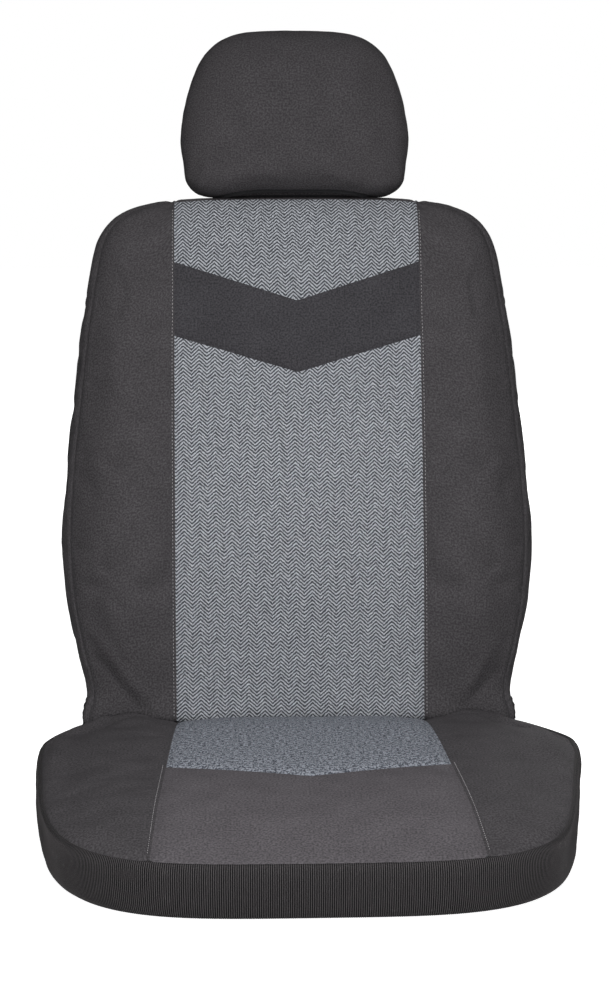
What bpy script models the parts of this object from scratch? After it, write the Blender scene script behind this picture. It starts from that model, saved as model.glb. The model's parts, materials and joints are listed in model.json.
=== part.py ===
"""Seat cover set for a car's front seat: headrest, backrest and cushion covers.

The covers are thin sewn shells in the shape they take on the seat, each hollow and open
where the seat goes in. Metres, +Z up, the seat faces -Y and x = 0 is its middle.
"""
import math

import bmesh
import bpy
import numpy as np
from mathutils import Vector

# ---- Driving dimensions -------------------------------------------------------------
LEAN = math.radians(12.0)          # backrest, back from upright
BIGHT_Y = 0.1057                   # fold between cushion and backrest, the recline axis
BIGHT_Z = 0.058

FABRIC = 0.003                     # foam-backed cover fabric
KNIT = 0.0025                      # ribbed skirt and the flap
SIDE_CELLS = 4                     # facets across a side gusset
ALLOWANCE = 0.008                  # turned-in edge of each panel
SEAM_GAP = 0.0004                  # each panel's distance to its seam line

BACK_TALL = 0.599
BACK_CORNER = 0.098                # height of the rounded top
OUTLINE_POWER = 4.4                # squareness of the rounded top
SIDE_POWER = 2.9                   # squareness of the section
BACK_SEAM = 0.965                  # front and rear seams, as a share of the outline
SEAM_SHARE = SEAM_GAP / 0.25       # a panel's distance to that seam, as such a share
REAR_GAP = 0.006                   # the rear panel's distance to its seam, as such a share
TOP_HALF = 0.220                   # half width that the top's curve belongs to
BACK_FOOT = 0.003                  # lower edge above the recline axis
SIDE_FOOT = 0.012                  # lower front corner of the side gussets
REAR_FOOT = 0.052                  # lower edge of the rear panel, clear of the floor
INSERT_HALF = 0.139                # half width of the centre insert
CHEVRON_TOP = (0.518, 0.473)       # upper edge at the sides and at the middle
CHEVRON_FOOT = (0.433, 0.391)      # lower edge at the sides and at the middle

# Half width, half thickness and middle plane of the backrest, by height along its lean
BACK_HALF_WIDTHS = (
    (-0.05, 0.2490), (0.0, 0.2420), (0.04, 0.2425), (0.08, 0.2530), (0.14, 0.2645),
    (0.20, 0.2690), (0.28, 0.2650), (0.36, 0.2565), (0.46, 0.2445), (0.56, 0.2275),
    (0.65, 0.2060),
)
BACK_HALF_DEPTHS = (
    (-0.05, 0.050), (0.0, 0.052), (0.10, 0.060), (0.25, 0.064), (0.45, 0.056), (0.65, 0.045),
)
BACK_MIDDLES = (
    (-0.05, 0.052), (0.0, 0.052), (0.10, 0.058), (0.25, 0.062), (0.45, 0.062), (0.65, 0.066),
)

HEAD_FOOT = 0.602                  # underside of the headrest above the axis
HEAD_DEPTH = 0.056                 # its middle plane behind the axis
HEAD_TALL = 0.188
HEAD_HALF_DEPTH = 0.052
HEAD_TOP_ROUND = 0.085
HEAD_FOOT_ROUND = 0.040
HEAD_OUTLINE_POWER = 4.0
HEAD_SIDE_POWER = 2.6
HEAD_HALF_WIDTHS = (
    (-0.02, 0.137), (0.0, 0.130), (0.03, 0.1285), (0.06, 0.1315), (0.10, 0.127),
    (0.15, 0.113), (0.20, 0.096),
)
HEAD_SEAM_TURN = math.radians(12)  # side seam, this far behind the edge
HEAD_MOUTH_TURN = math.radians(30)  # half of the opening underneath
HEAD_ELASTIC_INSET = 0.0155        # clear of the turned-in edges

SEAT_HALF = 0.2745                 # half width of the cushion
SEAT_MIDDLE = -0.080               # where it is widest, from the bight
SEAT_FRONT = 0.386                 # from the widest place to the front seam
SEAT_REAR = 0.170                  # rounding of the rear shoulders
SEAT_POWER = 3.8                   # squareness of the outline ahead of there
SEAT_REAR_POWER = 2.0
SEAT_SEAM_Z = 0.054                # top seam of the skirt
SEAT_CROWN = 0.024
SEAT_EDGE = -0.0030                # rear edge of the cushion panels, from the bight
SEAT_INSERT_HALF = (0.136, 0.155)  # half width of the insert at the rear and the front
SEAT_CORNER_GAP = 0.004            # side panels' points, from the front panel's corners
SEAT_SPLIT = (-0.222, -0.268)      # rear insert's front edge at the sides and the middle

POST_SPACING = 0.140
SLOT = (0.034, 0.024)              # opening for one headrest post
WEBBING = (0.025, 0.0015)          # width and thickness
ELASTIC = (0.008, 0.0018)
EDGE_GAP = 0.0010                  # between a panel's edge and the band under it
BUCKLE = (0.034, 0.030, 0.0086)    # width, length and height of the socket
PRONG = 0.0185                     # length of the plug's two prongs


# ---- Curves and surfaces ------------------------------------------------------------
def smooth_curve(points):
    """A smooth function through (position, value) pairs."""
    at = np.array([point[0] for point in points])
    value = np.array([point[1] for point in points])
    slope = np.gradient(value, at)

    def read(position):
        position = np.clip(position, at[0], at[-1])
        index = np.clip(np.searchsorted(at, position, side="right") - 1, 0, len(at) - 2)
        span = at[index + 1] - at[index]
        s = (position - at[index]) / span
        keep = (2 * s**3 - 3 * s**2 + 1) * value[index] + (3 * s**2 - 2 * s**3) * value[index + 1]
        turn = (s**3 - 2 * s**2 + s) * slope[index] + (s**3 - s**2) * slope[index + 1]
        return keep + span * turn

    return read


def swell(position, middle, width):
    return np.exp(-(((position - middle) / width) ** 2))


def ease(position, start, end):
    s = np.clip((position - start) / (end - start), 0.0, 1.0)
    return s * s * (3 - 2 * s)


back_half_width = smooth_curve(BACK_HALF_WIDTHS)
back_half_depth = smooth_curve(BACK_HALF_DEPTHS)
back_middle = smooth_curve(BACK_MIDDLES)
head_half_width = smooth_curve(HEAD_HALF_WIDTHS)


def section(turn, power):
    """Shares of the outline and of the depth, for a turn from 90 degrees (front) to -90 (rear)."""
    across = np.cos(turn) ** (2 / power)
    depth = -np.sign(turn) * np.abs(np.sin(turn)) ** (2 / power)
    return across, depth


def seam_turn(share, power):
    """The section angle at which the surface is this share of the way to the outline."""
    return math.acos(share ** (power / 2))


def back_depth(x, height, depth_share):
    """Depth of the backrest's surface: section, side bolsters and lumbar swell."""
    front = np.clip(-depth_share, 0.0, 1.0)
    upper = 1 - 0.8 * ease(height, 0.34, 0.60)
    bolster = 0.028 * swell(np.abs(x), 0.200, 0.042) * ease(height, 0.0, 0.14) * upper
    lumbar = 0.012 * swell(height, 0.20, 0.13) * swell(x, 0.0, 0.15)
    return back_middle(height) + back_half_depth(height) * depth_share - front * (bolster + lumbar)


def back_face(x, height, front=True):
    """Point of the backrest's front or rear face."""
    above = np.clip((height - BACK_TALL + BACK_CORNER) / BACK_CORNER, 0.0, None)
    share = (np.abs(x) / back_half_width(height)) ** OUTLINE_POWER + above**OUTLINE_POWER
    share = np.clip(share ** (1 / OUTLINE_POWER), 0.0, 1.0)
    depth = (1 - share**SIDE_POWER) ** (1 / SIDE_POWER)
    depth = -depth if front else depth
    return np.stack([x, back_depth(x, height, depth), height], -1)


def back_rim(along, turn, foot=BACK_FOOT):
    """Point of the backrest's edge; along runs from the foot (0) over the corner to the top (1)."""
    share, depth = section(turn, SIDE_POWER)
    straight = BACK_TALL - BACK_CORNER
    corner = np.clip((along - 0.6) / 0.4, 0.0, 1.0) * math.pi / 2
    out = np.cos(corner) ** (2 / OUTLINE_POWER)
    up = np.sin(corner) ** (2 / OUTLINE_POWER)
    height = foot + (straight - foot) * np.clip(along / 0.6, 0.0, 1.0) + BACK_CORNER * share * up
    x = share * out * back_half_width(height)
    return np.stack([x, back_depth(x, height, depth), height], -1)


def rim_at_insert(turn):
    """How far along the rim the insert's seam meets the top."""
    low, high = 0.6, 1.0
    for _ in range(40):
        middle = (low + high) / 2
        if back_rim(middle, turn)[0] > INSERT_HALF:
            low = middle
        else:
            high = middle
    return low


def seat_share(x, y):
    """Share of the way from the cushion's middle to its outline, y from the bight."""
    length = np.where(y < SEAT_MIDDLE, SEAT_FRONT, SEAT_REAR)
    power = np.where(y < SEAT_MIDDLE, SEAT_POWER, SEAT_REAR_POWER)
    total = (np.abs(x) / SEAT_HALF) ** power + (np.abs(y - SEAT_MIDDLE) / length) ** power
    return total ** (1 / power)


def seat_top(x, y):
    """Point of the cushion's top; it falls to the bight behind and to the skirt's seam around."""
    middle = (SEAT_MIDDLE - SEAT_FRONT) / 2
    spread = (np.abs(x) / (SEAT_HALF + 0.004)) ** SEAT_POWER
    share = (spread + (np.abs(y - middle) / -middle) ** SEAT_POWER) ** (1 / SEAT_POWER)
    edge = np.clip(seat_share(x, y), 0.0, 1.0)
    crown = (1 - np.clip(share, 0.0, 1.0) ** 2.4) ** 0.75 * (1 - edge**10) ** 0.5
    side = 0.006 * swell(np.abs(x), 0.205, 0.040) * ease(-y, 0.0, 0.10)
    base = BIGHT_Z + (SEAT_SEAM_Z - BIGHT_Z) * ease(-y, 0.0, 0.2)
    base = base - (BIGHT_Z - SEAT_SEAM_Z) * (1 - ease(-y, 0.0, 0.2)) * ease(np.abs(x), 0.19, 0.245)
    return np.stack([x, y + BIGHT_Y, base + (SEAT_CROWN + side) * crown], -1)


def seat_rim(along, y_end=SEAT_EDGE):
    """Outline of the cushion in plan and its outward direction, from the rear (0) to the front (1)."""
    first = math.asin(((y_end - SEAT_MIDDLE) / SEAT_REAR) ** (SEAT_REAR_POWER / 2))
    angle = first - along * (first + math.pi / 2)
    length = np.where(angle < 0, SEAT_FRONT, SEAT_REAR)
    power = np.where(angle < 0, SEAT_POWER, SEAT_REAR_POWER)
    x = SEAT_HALF * np.cos(angle) ** (2 / power)
    reach = np.sign(angle) * np.abs(np.sin(angle)) ** (2 / power)
    out_x = (x / SEAT_HALF) ** (power - 1) / SEAT_HALF
    out_y = np.sign(reach) * np.abs(reach) ** (power - 1) / length
    size = np.hypot(out_x, out_y)
    return x, SEAT_MIDDLE + length * reach, out_x / size, out_y / size


def seat_rim_at(half):
    """How far along the rim the front's seam at this half width is."""
    low, high = 0.5, 1.0
    for _ in range(40):
        middle = (low + high) / 2
        if seat_rim(middle)[0] > half:
            low = middle
        else:
            high = middle
    return low


def head_point(out, up, turn):
    """Point of the headrest's surface; (out, up) is a direction on its unit outline."""
    share, depth = section(turn, HEAD_SIDE_POWER)
    straight = HEAD_TALL - HEAD_TOP_ROUND - HEAD_FOOT_ROUND
    rise = np.where(up > 0, HEAD_TOP_ROUND, HEAD_FOOT_ROUND) * up
    level = HEAD_FOOT_ROUND + straight * (np.clip(up, -0.5, 0.5) + 0.5)
    height = level + rise * share
    x = share * out * head_half_width(height)
    tuck = 0.010 * (1 - ease(height, 0.0, 0.075)) * np.abs(depth)
    return np.stack([x, depth * (HEAD_HALF_DEPTH - tuck), height], -1)


# ---- Objects ------------------------------------------------------------------------
def clear():
    for thing in list(bpy.data.objects):
        bpy.data.objects.remove(thing, do_unlink=True)


def material(name, shade, roughness, metallic=0.0):
    """A plain finish; shade is the colour as a screen shows it, 0 to 255."""
    made = bpy.data.materials.new(name)
    made.use_nodes = True
    shader = made.node_tree.nodes["Principled BSDF"]
    linear = [(part / 255) ** 2.2 for part in shade]
    shader.inputs["Base Color"].default_value = (*linear, 1.0)
    shader.inputs["Roughness"].default_value = roughness
    shader.inputs["Metallic"].default_value = metallic
    return made


def empty(name, location, parent=None, turn=0.0):
    made = bpy.data.objects.new(name, None)
    bpy.context.collection.objects.link(made)
    made.location = location
    made.rotation_euler = (turn, 0.0, 0.0)
    made.parent = parent
    return made


def add(name, mesh, finish, parent):
    made = bpy.data.objects.new(name, mesh)
    bpy.context.collection.objects.link(made)
    made.parent = parent
    mesh.materials.append(finish)
    mesh.shade_smooth()
    mesh.set_sharp_from_angle(angle=math.radians(40))
    return made


def solidify(thing, thickness):
    shell = thing.modifiers.new("thickness", "SOLIDIFY")
    shell.thickness = thickness
    shell.offset = -1.0
    shell.use_even_offset = True
    return thing


def grid_mesh(name, points, inward, sides):
    """A sheet through a grid of points, with a turned-in allowance along the named sides.

    points and inward are rows x columns x 3; sides holds any of the letters n, s, e and w.
    """
    rows, columns = points.shape[:2]
    mesh = bmesh.new()
    vertex = [[mesh.verts.new(points[i, j]) for j in range(columns)] for i in range(rows)]
    for i in range(rows - 1):
        for j in range(columns - 1):
            corners = [vertex[i][j], vertex[i][j + 1], vertex[i + 1][j + 1], vertex[i + 1][j]]
            mesh.faces.new(corners)
    border = {
        "s": [(0, j) for j in range(columns)],
        "n": [(rows - 1, j) for j in range(columns)],
        "w": [(i, 0) for i in range(rows)],
        "e": [(i, columns - 1) for i in range(rows)],
    }
    turned = {}
    for side in sides:
        run = border[side]
        for place in run:
            if place not in turned:
                i, j = place
                turned[place] = mesh.verts.new(points[i, j] + inward[i, j] * ALLOWANCE)
        for first, second in zip(run, run[1:]):
            start, end = vertex[first[0]][first[1]], vertex[second[0]][second[1]]
            mesh.faces.new([start, end, turned[second], turned[first]])
    bmesh.ops.remove_doubles(mesh, verts=mesh.verts, dist=1e-6)
    bmesh.ops.recalc_face_normals(mesh, faces=mesh.faces)
    made = bpy.data.meshes.new(name)
    mesh.to_mesh(made)
    mesh.free()
    return made


def inward_normals(place, u, v, middle):
    """Unit normals of the surface place(u, v), pointing towards the side that middle is on."""
    step = 1e-4
    low_u, high_u = np.clip(u - step, 0, 1), np.clip(u + step, 0, 1)
    low_v, high_v = np.clip(v - step, 0, 1), np.clip(v + step, 0, 1)
    along = place(high_u, v) - place(low_u, v)
    across = place(u, high_v) - place(u, low_v)
    normal = np.cross(along, across)
    normal /= np.maximum(np.linalg.norm(normal, axis=-1, keepdims=True), 1e-12)
    flip = np.sum(normal * (middle - place(u, v)), axis=-1, keepdims=True)
    return np.where(flip < 0, -normal, normal)


def panel(name, place, cells, finish, parent, middle, sides="", us=None, turn_in=None):
    """A sewn panel: the surface place(u, v) for u and v from 0 to 1, as a shell with turned-in edges."""
    u_values = np.linspace(0, 1, cells[0] + 1) if us is None else us
    u, v = np.meshgrid(u_values, np.linspace(0, 1, cells[1] + 1), indexing="ij")
    pull = 0.002                              # normals are read just inside the corners
    inward = inward_normals(place, np.clip(u, pull, 1 - pull), np.clip(v, pull, 1 - pull), middle)
    if turn_in:
        inward = turn_in(place(u, v), inward)
    mesh = grid_mesh(name, place(u, v), inward, sides)
    thing = add(name, mesh, finish, parent)
    orient(mesh, middle)
    return solidify(thing, FABRIC)


def orient(mesh, middle):
    """Turns the faces of a sheet so that they look away from middle."""
    total = 0.0
    for face in mesh.polygons:
        total += face.area * face.normal.dot(face.center - Vector(middle))
    if total < 0:
        mesh.flip_normals()


def band(name, path, width_way, thick_way, size, finish, parent, closed=False):
    """A flat band of rectangular section along a path; the two directions are given at each point."""
    width, thickness = size
    corners = [(-0.5, -0.5), (0.5, -0.5), (0.5, 0.5), (-0.5, 0.5)]
    mesh = bmesh.new()
    rings = []
    for point, wide, thick in zip(path, width_way, thick_way):
        ring = [mesh.verts.new(point + wide * width * a + thick * thickness * b) for a, b in corners]
        rings.append(ring)
    pairs = list(zip(rings, rings[1:]))
    if closed:
        pairs.append((rings[-1], rings[0]))
    for first, second in pairs:
        for k in range(4):
            mesh.faces.new([first[k], first[(k + 1) % 4], second[(k + 1) % 4], second[k]])
    if not closed:
        mesh.faces.new(rings[0])
        mesh.faces.new(rings[-1])
    bmesh.ops.recalc_face_normals(mesh, faces=mesh.faces)
    made = bpy.data.meshes.new(name)
    mesh.to_mesh(made)
    mesh.free()
    return add(name, made, finish, parent)


def box_parts(name, boxes, finish, parent):
    """One solid from boxes that share whole faces' edges, joined by a Boolean union."""
    first = None
    for low, high in boxes:
        mesh = bmesh.new()
        bmesh.ops.create_cube(mesh, size=1.0)
        for corner in mesh.verts:
            for axis in range(3):
                corner.co[axis] = low[axis] if corner.co[axis] < 0 else high[axis]
        made = bpy.data.meshes.new(name)
        mesh.to_mesh(made)
        mesh.free()
        if first is None:
            first = add(name, made, finish, parent)
        else:
            helper = add(name + "_join", made, finish, parent)
            helper.hide_render = True
            helper.display_type = "WIRE"
            union = first.modifiers.new("join", "BOOLEAN")
            union.operation = "UNION"
            union.object = helper
    return first


# ---- Backrest -----------------------------------------------------------------------
BACK_CORE = np.array([0.0, 0.056, 0.30])


def edge_v(edge, x):
    """Height of a V-shaped edge that is given at the sides and at the middle."""
    return edge[1] + (edge[0] - edge[1]) * np.abs(x) / INSERT_HALF


def insert_top(x):
    """Height of the top seam above the insert."""
    share = BACK_SEAM - SEAM_SHARE
    up = (share**OUTLINE_POWER - (np.abs(x) / TOP_HALF) ** OUTLINE_POWER) ** (1 / OUTLINE_POWER)
    return BACK_TALL - BACK_CORNER + BACK_CORNER * up


def back_inserts(finishes, parent):
    """The three centre panels, split by the V-shaped band."""
    half = INSERT_HALF - SEAM_GAP
    lean_gap = 1.1 * SEAM_GAP

    def foot(x):
        return 0 * x + BACK_FOOT

    def band_low(x):
        return edge_v(CHEVRON_FOOT, x) + lean_gap

    def band_high(x):
        return edge_v(CHEVRON_TOP, x) - lean_gap

    edges = [
        ("back_lower_insert", "insert", "new", 11, foot, lambda x: edge_v(CHEVRON_FOOT, x) - lean_gap),
        ("back_chevron_band", "chevron", "nesw", 3, band_low, band_high),
        ("back_upper_insert", "insert", "nesw", 4, lambda x: edge_v(CHEVRON_TOP, x) + lean_gap, insert_top),
    ]
    for name, finish, sides, rows, low, high in edges:

        def place(u, v, low=low, high=high):
            x = (2 * v - 1) * half
            return back_face(x, low(x) + (high(x) - low(x)) * u)

        panel(name, place, (rows, 10), finishes[finish], parent, BACK_CORE, sides)


def back_bolster(side, sign, finishes, parent):
    """Front side panel, from the insert's seam out to the rim and up to a point at the top."""
    turn = seam_turn(BACK_SEAM - SEAM_SHARE, SIDE_POWER)
    end = rim_at_insert(turn)
    inner_top = insert_top(np.array(INSERT_HALF))

    def place(u, v):
        outer = back_rim(u * end, turn)
        inner_x = INSERT_HALF + SEAM_GAP
        inner_height = BACK_FOOT + (inner_top - BACK_FOOT) * ease_end(u)
        x = inner_x + (np.maximum(outer[..., 0], inner_x) - inner_x) * v
        height = inner_height + (outer[..., 2] - inner_height) * v
        return back_face(x, height) * [sign, 1, 1]

    middle = BACK_CORE + [0.15 * sign, 0, 0]
    panel("back_bolster_" + side, place, (22, 5), finishes["knit"], parent, middle, "ew")


def ease_end(u):
    """Keeps rows level on the straight part, and draws them together at the top."""
    return u + 0.10 * np.sin(math.pi * u) ** 2


def side_foot(turn):
    """Height of the cover's lower edge, from the front seam round to the rear one and across the rear."""
    front = seam_turn(BACK_SEAM, SIDE_POWER)
    return SIDE_FOOT + (REAR_FOOT - SIDE_FOOT) * np.clip((front - turn) / (2 * front), 0.0, 1.0)


def back_sides(side, sign, finishes, parent):
    """Side gusset, from the front seam round the edge to the rear seam."""
    front = seam_turn(BACK_SEAM + SEAM_SHARE, SIDE_POWER)
    end = rim_at_insert(front) - 0.014

    def place(u, v):
        turn = front - 2 * front * v
        return back_rim(u * end, turn, side_foot(turn)) * [sign, 1, 1]

    middle = BACK_CORE + [0.05 * sign, 0, 0]
    panel("back_side_" + side, place, (22, SIDE_CELLS), finishes["knit"], parent, middle, "new")


def back_top(finishes, parent):
    """Top gusset with the openings for the headrest's posts."""
    front = seam_turn(BACK_SEAM + SEAM_SHARE, SIDE_POWER)
    half = INSERT_HALF - 2 * SEAM_GAP

    def place(u, v):
        turn = front - 2 * front * v
        share, depth = section(turn, SIDE_POWER)
        x = (2 * u - 1) * half
        up = (share**OUTLINE_POWER - (np.abs(x) / TOP_HALF) ** OUTLINE_POWER) ** (1 / OUTLINE_POWER)
        height = BACK_TALL - BACK_CORNER + BACK_CORNER * up
        return np.stack([x, back_depth(x, height, depth), height], -1)

    gusset = panel("back_top_gusset", place, (12, 4), finishes["knit"], parent, BACK_CORE, "nesw")
    for side, sign in (("left", -1), ("right", 1)):
        centre = (sign * POST_SPACING / 2, float(back_middle(BACK_TALL)), BACK_TALL - 0.004)
        hole = oval_mesh("slot_cutter", SLOT, 0.0, 0.030)
        cutter = add("slot_cutter_" + side, hole, finishes["trim"], parent)
        cutter.location = centre
        cutter.hide_render = True
        cutter.display_type = "WIRE"
        cut = gusset.modifiers.new("slot", "BOOLEAN")
        cut.operation = "DIFFERENCE"
        cut.object = cutter
        hem = oval_mesh("binding", (SLOT[0] - 0.0007, SLOT[1] - 0.0007), 0.003, 0.007)
        ring = add("post_slot_binding_" + side, hem, finishes["trim"], parent)
        ring.location = (centre[0], centre[1], BACK_TALL - 0.0015)


def oval_mesh(name, size, wall, tall):
    """An upright oval cylinder about its own middle; with a wall it is a ring."""
    sides = 20
    mesh = bmesh.new()
    loops = []
    for shrink in (0.0, 2 * wall) if wall else (0.0,):
        for level in (-tall / 2, tall / 2):
            loop = []
            for k in range(sides):
                angle = 2 * math.pi * k / sides
                x = (size[0] - shrink) / 2 * math.cos(angle)
                y = (size[1] - shrink) / 2 * math.sin(angle)
                loop.append(mesh.verts.new((x, y, level)))
            loops.append(loop)
    for first, second in ((0, 1), (2, 3)) if wall else ((0, 1),):
        for k in range(sides):
            n = (k + 1) % sides
            mesh.faces.new([loops[first][k], loops[first][n], loops[second][n], loops[second][k]])
    if wall:
        for first, second in ((0, 2), (1, 3)):
            for k in range(sides):
                n = (k + 1) % sides
                mesh.faces.new([loops[first][k], loops[first][n], loops[second][n], loops[second][k]])
    else:
        mesh.faces.new(loops[0])
        mesh.faces.new(loops[1])
    bmesh.ops.recalc_face_normals(mesh, faces=mesh.faces)
    made = bpy.data.meshes.new(name)
    mesh.to_mesh(made)
    mesh.free()
    return made


def back_rear(finishes, parent):
    """Rear panel inside the rear seam."""
    turn = -seam_turn(BACK_SEAM - REAR_GAP, SIDE_POWER)

    def place(u, v):
        straight = BACK_TALL - BACK_CORNER
        side = 2 * v - 1
        share = section(np.array(turn), SIDE_POWER)[0]
        split = 0.80
        low = np.clip(u / split, 0, 1)
        up = np.clip((u - split) / (1 - split), 0, 1)
        largest = np.maximum(np.abs(side), up)
        size = (np.abs(side) ** OUTLINE_POWER + up**OUTLINE_POWER) ** (1 / OUTLINE_POWER)
        scale = share * largest / np.maximum(size, 1e-9)
        height = REAR_FOOT + (straight - REAR_FOOT) * low + BACK_CORNER * up * scale
        return back_face(side * scale * back_half_width(height), height, front=False)

    us = np.concatenate([np.linspace(0, 0.8, 9), np.linspace(0.8, 1, 6)[1:]])
    panel("back_rear_panel", place, (13, 12), finishes["knit"], parent, BACK_CORE, "new", us=us)


def back_elastic(finishes, parent):
    """Elastic binding along the open lower edge, under the side gussets and the rear panel."""
    front = seam_turn(BACK_SEAM, SIDE_POWER)
    round_side = front * np.linspace(1, -1, SIDE_CELLS + 1)[1:]
    across_rear = np.linspace(-front, -math.pi / 2, 10)[1:]
    turns = np.concatenate([round_side, across_rear])
    turns[-1] = -math.pi / 2 + 1e-4
    right = np.array([rim_level(turn, side_foot(turn) - EDGE_GAP - ELASTIC[0] / 2) for turn in turns])
    right[0] = (right[0] + right[1]) / 2      # starts clear of the front seam's allowances
    path = np.concatenate([right, right[-2::-1] * [-1, 1, 1]])
    outward = np.cross(np.gradient(path, axis=0), [0, 0, 1.0])
    outward /= np.linalg.norm(outward, axis=1, keepdims=True)
    middle = np.array([0.0, BACK_CORE[1], 0.03])
    outward = np.where(np.sum(outward * (path - middle), axis=1, keepdims=True) < 0, -outward, outward)
    upward = np.repeat([[0.0, 0.0, 1.0]], len(path), axis=0)
    path = path - outward * FABRIC / 2
    band("back_hem_elastic", path, upward, outward, ELASTIC, finishes["elastic"], parent)


def rim_level(turn, height):
    """Point of the backrest's section at one height."""
    share, depth = section(turn, SIDE_POWER)
    x = share * back_half_width(height)
    return np.array([x, back_depth(x, height, depth), height])


# ---- Headrest -----------------------------------------------------------------------
HEAD_CORE = np.array([0.0, 0.0, 0.09])


def head_mouth(up):
    """1 along the opening underneath, 0 at the sides and the top."""
    return ease(-up, 0.90, 0.995)


def head_panel(name, front, finishes, parent):
    """One half of the headrest cover, a bowl that ends at the side seam and at the opening."""
    gap = SEAM_GAP / 0.05

    def place(u, v):
        a = 2 * v - 1
        b = 2 * u - 1
        largest = np.maximum(np.abs(a), np.abs(b))
        size = np.abs(a) ** HEAD_OUTLINE_POWER + np.abs(b) ** HEAD_OUTLINE_POWER
        size = size ** (1 / HEAD_OUTLINE_POWER)
        out, up = a / np.maximum(size, 1e-9), b / np.maximum(size, 1e-9)
        mouth = head_mouth(up)
        if front:
            last = (-HEAD_SEAM_TURN + gap) * (1 - mouth) + HEAD_MOUTH_TURN * mouth
            turn = math.pi / 2 + (last - math.pi / 2) * largest
        else:
            last = (-HEAD_SEAM_TURN - gap) * (1 - mouth) - HEAD_MOUTH_TURN * mouth
            turn = -math.pi / 2 + (last + math.pi / 2) * largest
        return head_point(out, up, turn)

    panel(name, place, (12, 12), finishes["knit"], parent, HEAD_CORE, "nesw")


def head_elastic(finishes, parent):
    """Elastic round the headrest cover's opening."""
    ups = np.concatenate([np.linspace(0.93, 1.0, 8), np.linspace(1.0, 0.93, 8)[1:]])
    signs = np.concatenate([np.ones(8), -np.ones(7)])
    path = []
    for front in (1, -1):
        run = []
        for up, sign in zip(ups, signs):
            out = max(1 - up**HEAD_OUTLINE_POWER, 0.0) ** (1 / HEAD_OUTLINE_POWER)
            mouth = head_mouth(-up)
            turn = -HEAD_SEAM_TURN * (1 - mouth) + front * (HEAD_MOUTH_TURN + 0.02) * mouth
            run.append(head_point(np.array(sign * out), np.array(-up), turn + 1e-6))
        path += run if front > 0 else run[::-1]
    path = np.array(path)
    core = np.array([0.0, 0.0, 0.05])
    inward = core - path
    inward /= np.linalg.norm(inward, axis=1, keepdims=True)
    path = path + inward * HEAD_ELASTIC_INSET
    along = np.roll(path, -1, axis=0) - np.roll(path, 1, axis=0)
    along /= np.linalg.norm(along, axis=1, keepdims=True)
    upward = np.repeat([[0.0, 0.0, 1.0]], len(path), axis=0)
    thick = np.cross(along, upward)
    thick /= np.linalg.norm(thick, axis=1, keepdims=True)
    band("headrest_hem_elastic", path, upward, thick, ELASTIC, finishes["elastic"], parent, closed=True)


# ---- Cushion ------------------------------------------------------------------------
SEAT_CORE = np.array([0.0, BIGHT_Y - 0.22, 0.02])
SLANT = math.sqrt(0.5)


def slant_rim(points, inward):
    """Turns the allowances along the cushion's outline half inward and half down, beside the skirt's."""
    x, y = points[..., 0], points[..., 1] - BIGHT_Y
    length = np.where(y < SEAT_MIDDLE, SEAT_FRONT, SEAT_REAR)
    power = np.where(y < SEAT_MIDDLE, SEAT_POWER, SEAT_REAR_POWER)
    out_x = np.sign(x) * np.abs(x / SEAT_HALF) ** (power - 1) / SEAT_HALF
    reach = (y - SEAT_MIDDLE) / length
    out_y = np.sign(reach) * np.abs(reach) ** (power - 1) / length
    size = np.hypot(out_x, out_y)
    slanted = np.stack([-SLANT * out_x / size, -SLANT * out_y / size, 0 * x - SLANT], -1)
    return np.where((seat_share(x, y) > 0.985)[..., None], slanted, inward)


def seat_insert_half(y):
    share = np.clip(y / (SEAT_MIDDLE - SEAT_FRONT), 0, 1)
    return SEAT_INSERT_HALF[0] + (SEAT_INSERT_HALF[1] - SEAT_INSERT_HALF[0]) * share


def seat_front_edge(x):
    """Front seam in plan, from the bight."""
    return SEAT_MIDDLE - SEAT_FRONT * (1 - (np.abs(x) / SEAT_HALF) ** SEAT_POWER) ** (1 / SEAT_POWER)


def seat_inserts(finishes, parent):
    """Rear insert and front panel, either side of the shallow V-shaped seam."""

    def split(x):
        return SEAT_SPLIT[1] + (SEAT_SPLIT[0] - SEAT_SPLIT[1]) * np.abs(x) / 0.14

    def rear(x):
        return 0 * x + SEAT_EDGE

    def front(x):
        return seat_front_edge(x) + 2 * SEAM_GAP

    runs = (
        ("seat_rear_insert", "insert", rear, lambda x: split(x) + SEAM_GAP, 8),
        ("seat_front_panel", "front", lambda x: split(x) - SEAM_GAP, front, 10),
    )
    for name, finish, start, end, rows in runs:

        def place(u, v, start=start, end=end):
            side = 2 * v - 1
            y = start(side * 0.14) + (end(side * 0.154) - start(side * 0.14)) * u
            return seat_top(side * (seat_insert_half(y) - 2 * SEAM_GAP), y)

        panel(name, place, (rows, 10), finishes[finish], parent, SEAT_CORE, "nesw", turn_in=slant_rim)


def seat_bolster(side, sign, finishes, parent):
    """Side panel of the cushion, from the insert's seam to the skirt's, round to the front."""
    end = seat_rim_at(SEAT_INSERT_HALF[1] + SEAT_CORNER_GAP)
    last_y = seat_front_edge(SEAT_INSERT_HALF[1]) + SEAT_CORNER_GAP / 2

    def place(u, v):
        x, y, out_x, out_y = seat_rim(u * end)
        x, y = x - out_x * SEAM_GAP, y - out_y * SEAM_GAP
        inner_y = SEAT_EDGE + (last_y - SEAT_EDGE) * ease_end(u)
        inner_x = seat_insert_half(inner_y) + SEAM_GAP
        x = np.maximum(x, inner_x)
        return seat_top(inner_x + (x - inner_x) * v, inner_y + (y - inner_y) * v) * [sign, 1, 1]

    middle = SEAT_CORE + [0.15 * sign, 0, 0]
    name = "seat_bolster_" + side
    panel(name, place, (18, 5), finishes["knit"], parent, middle, "sew", turn_in=slant_rim)


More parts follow.
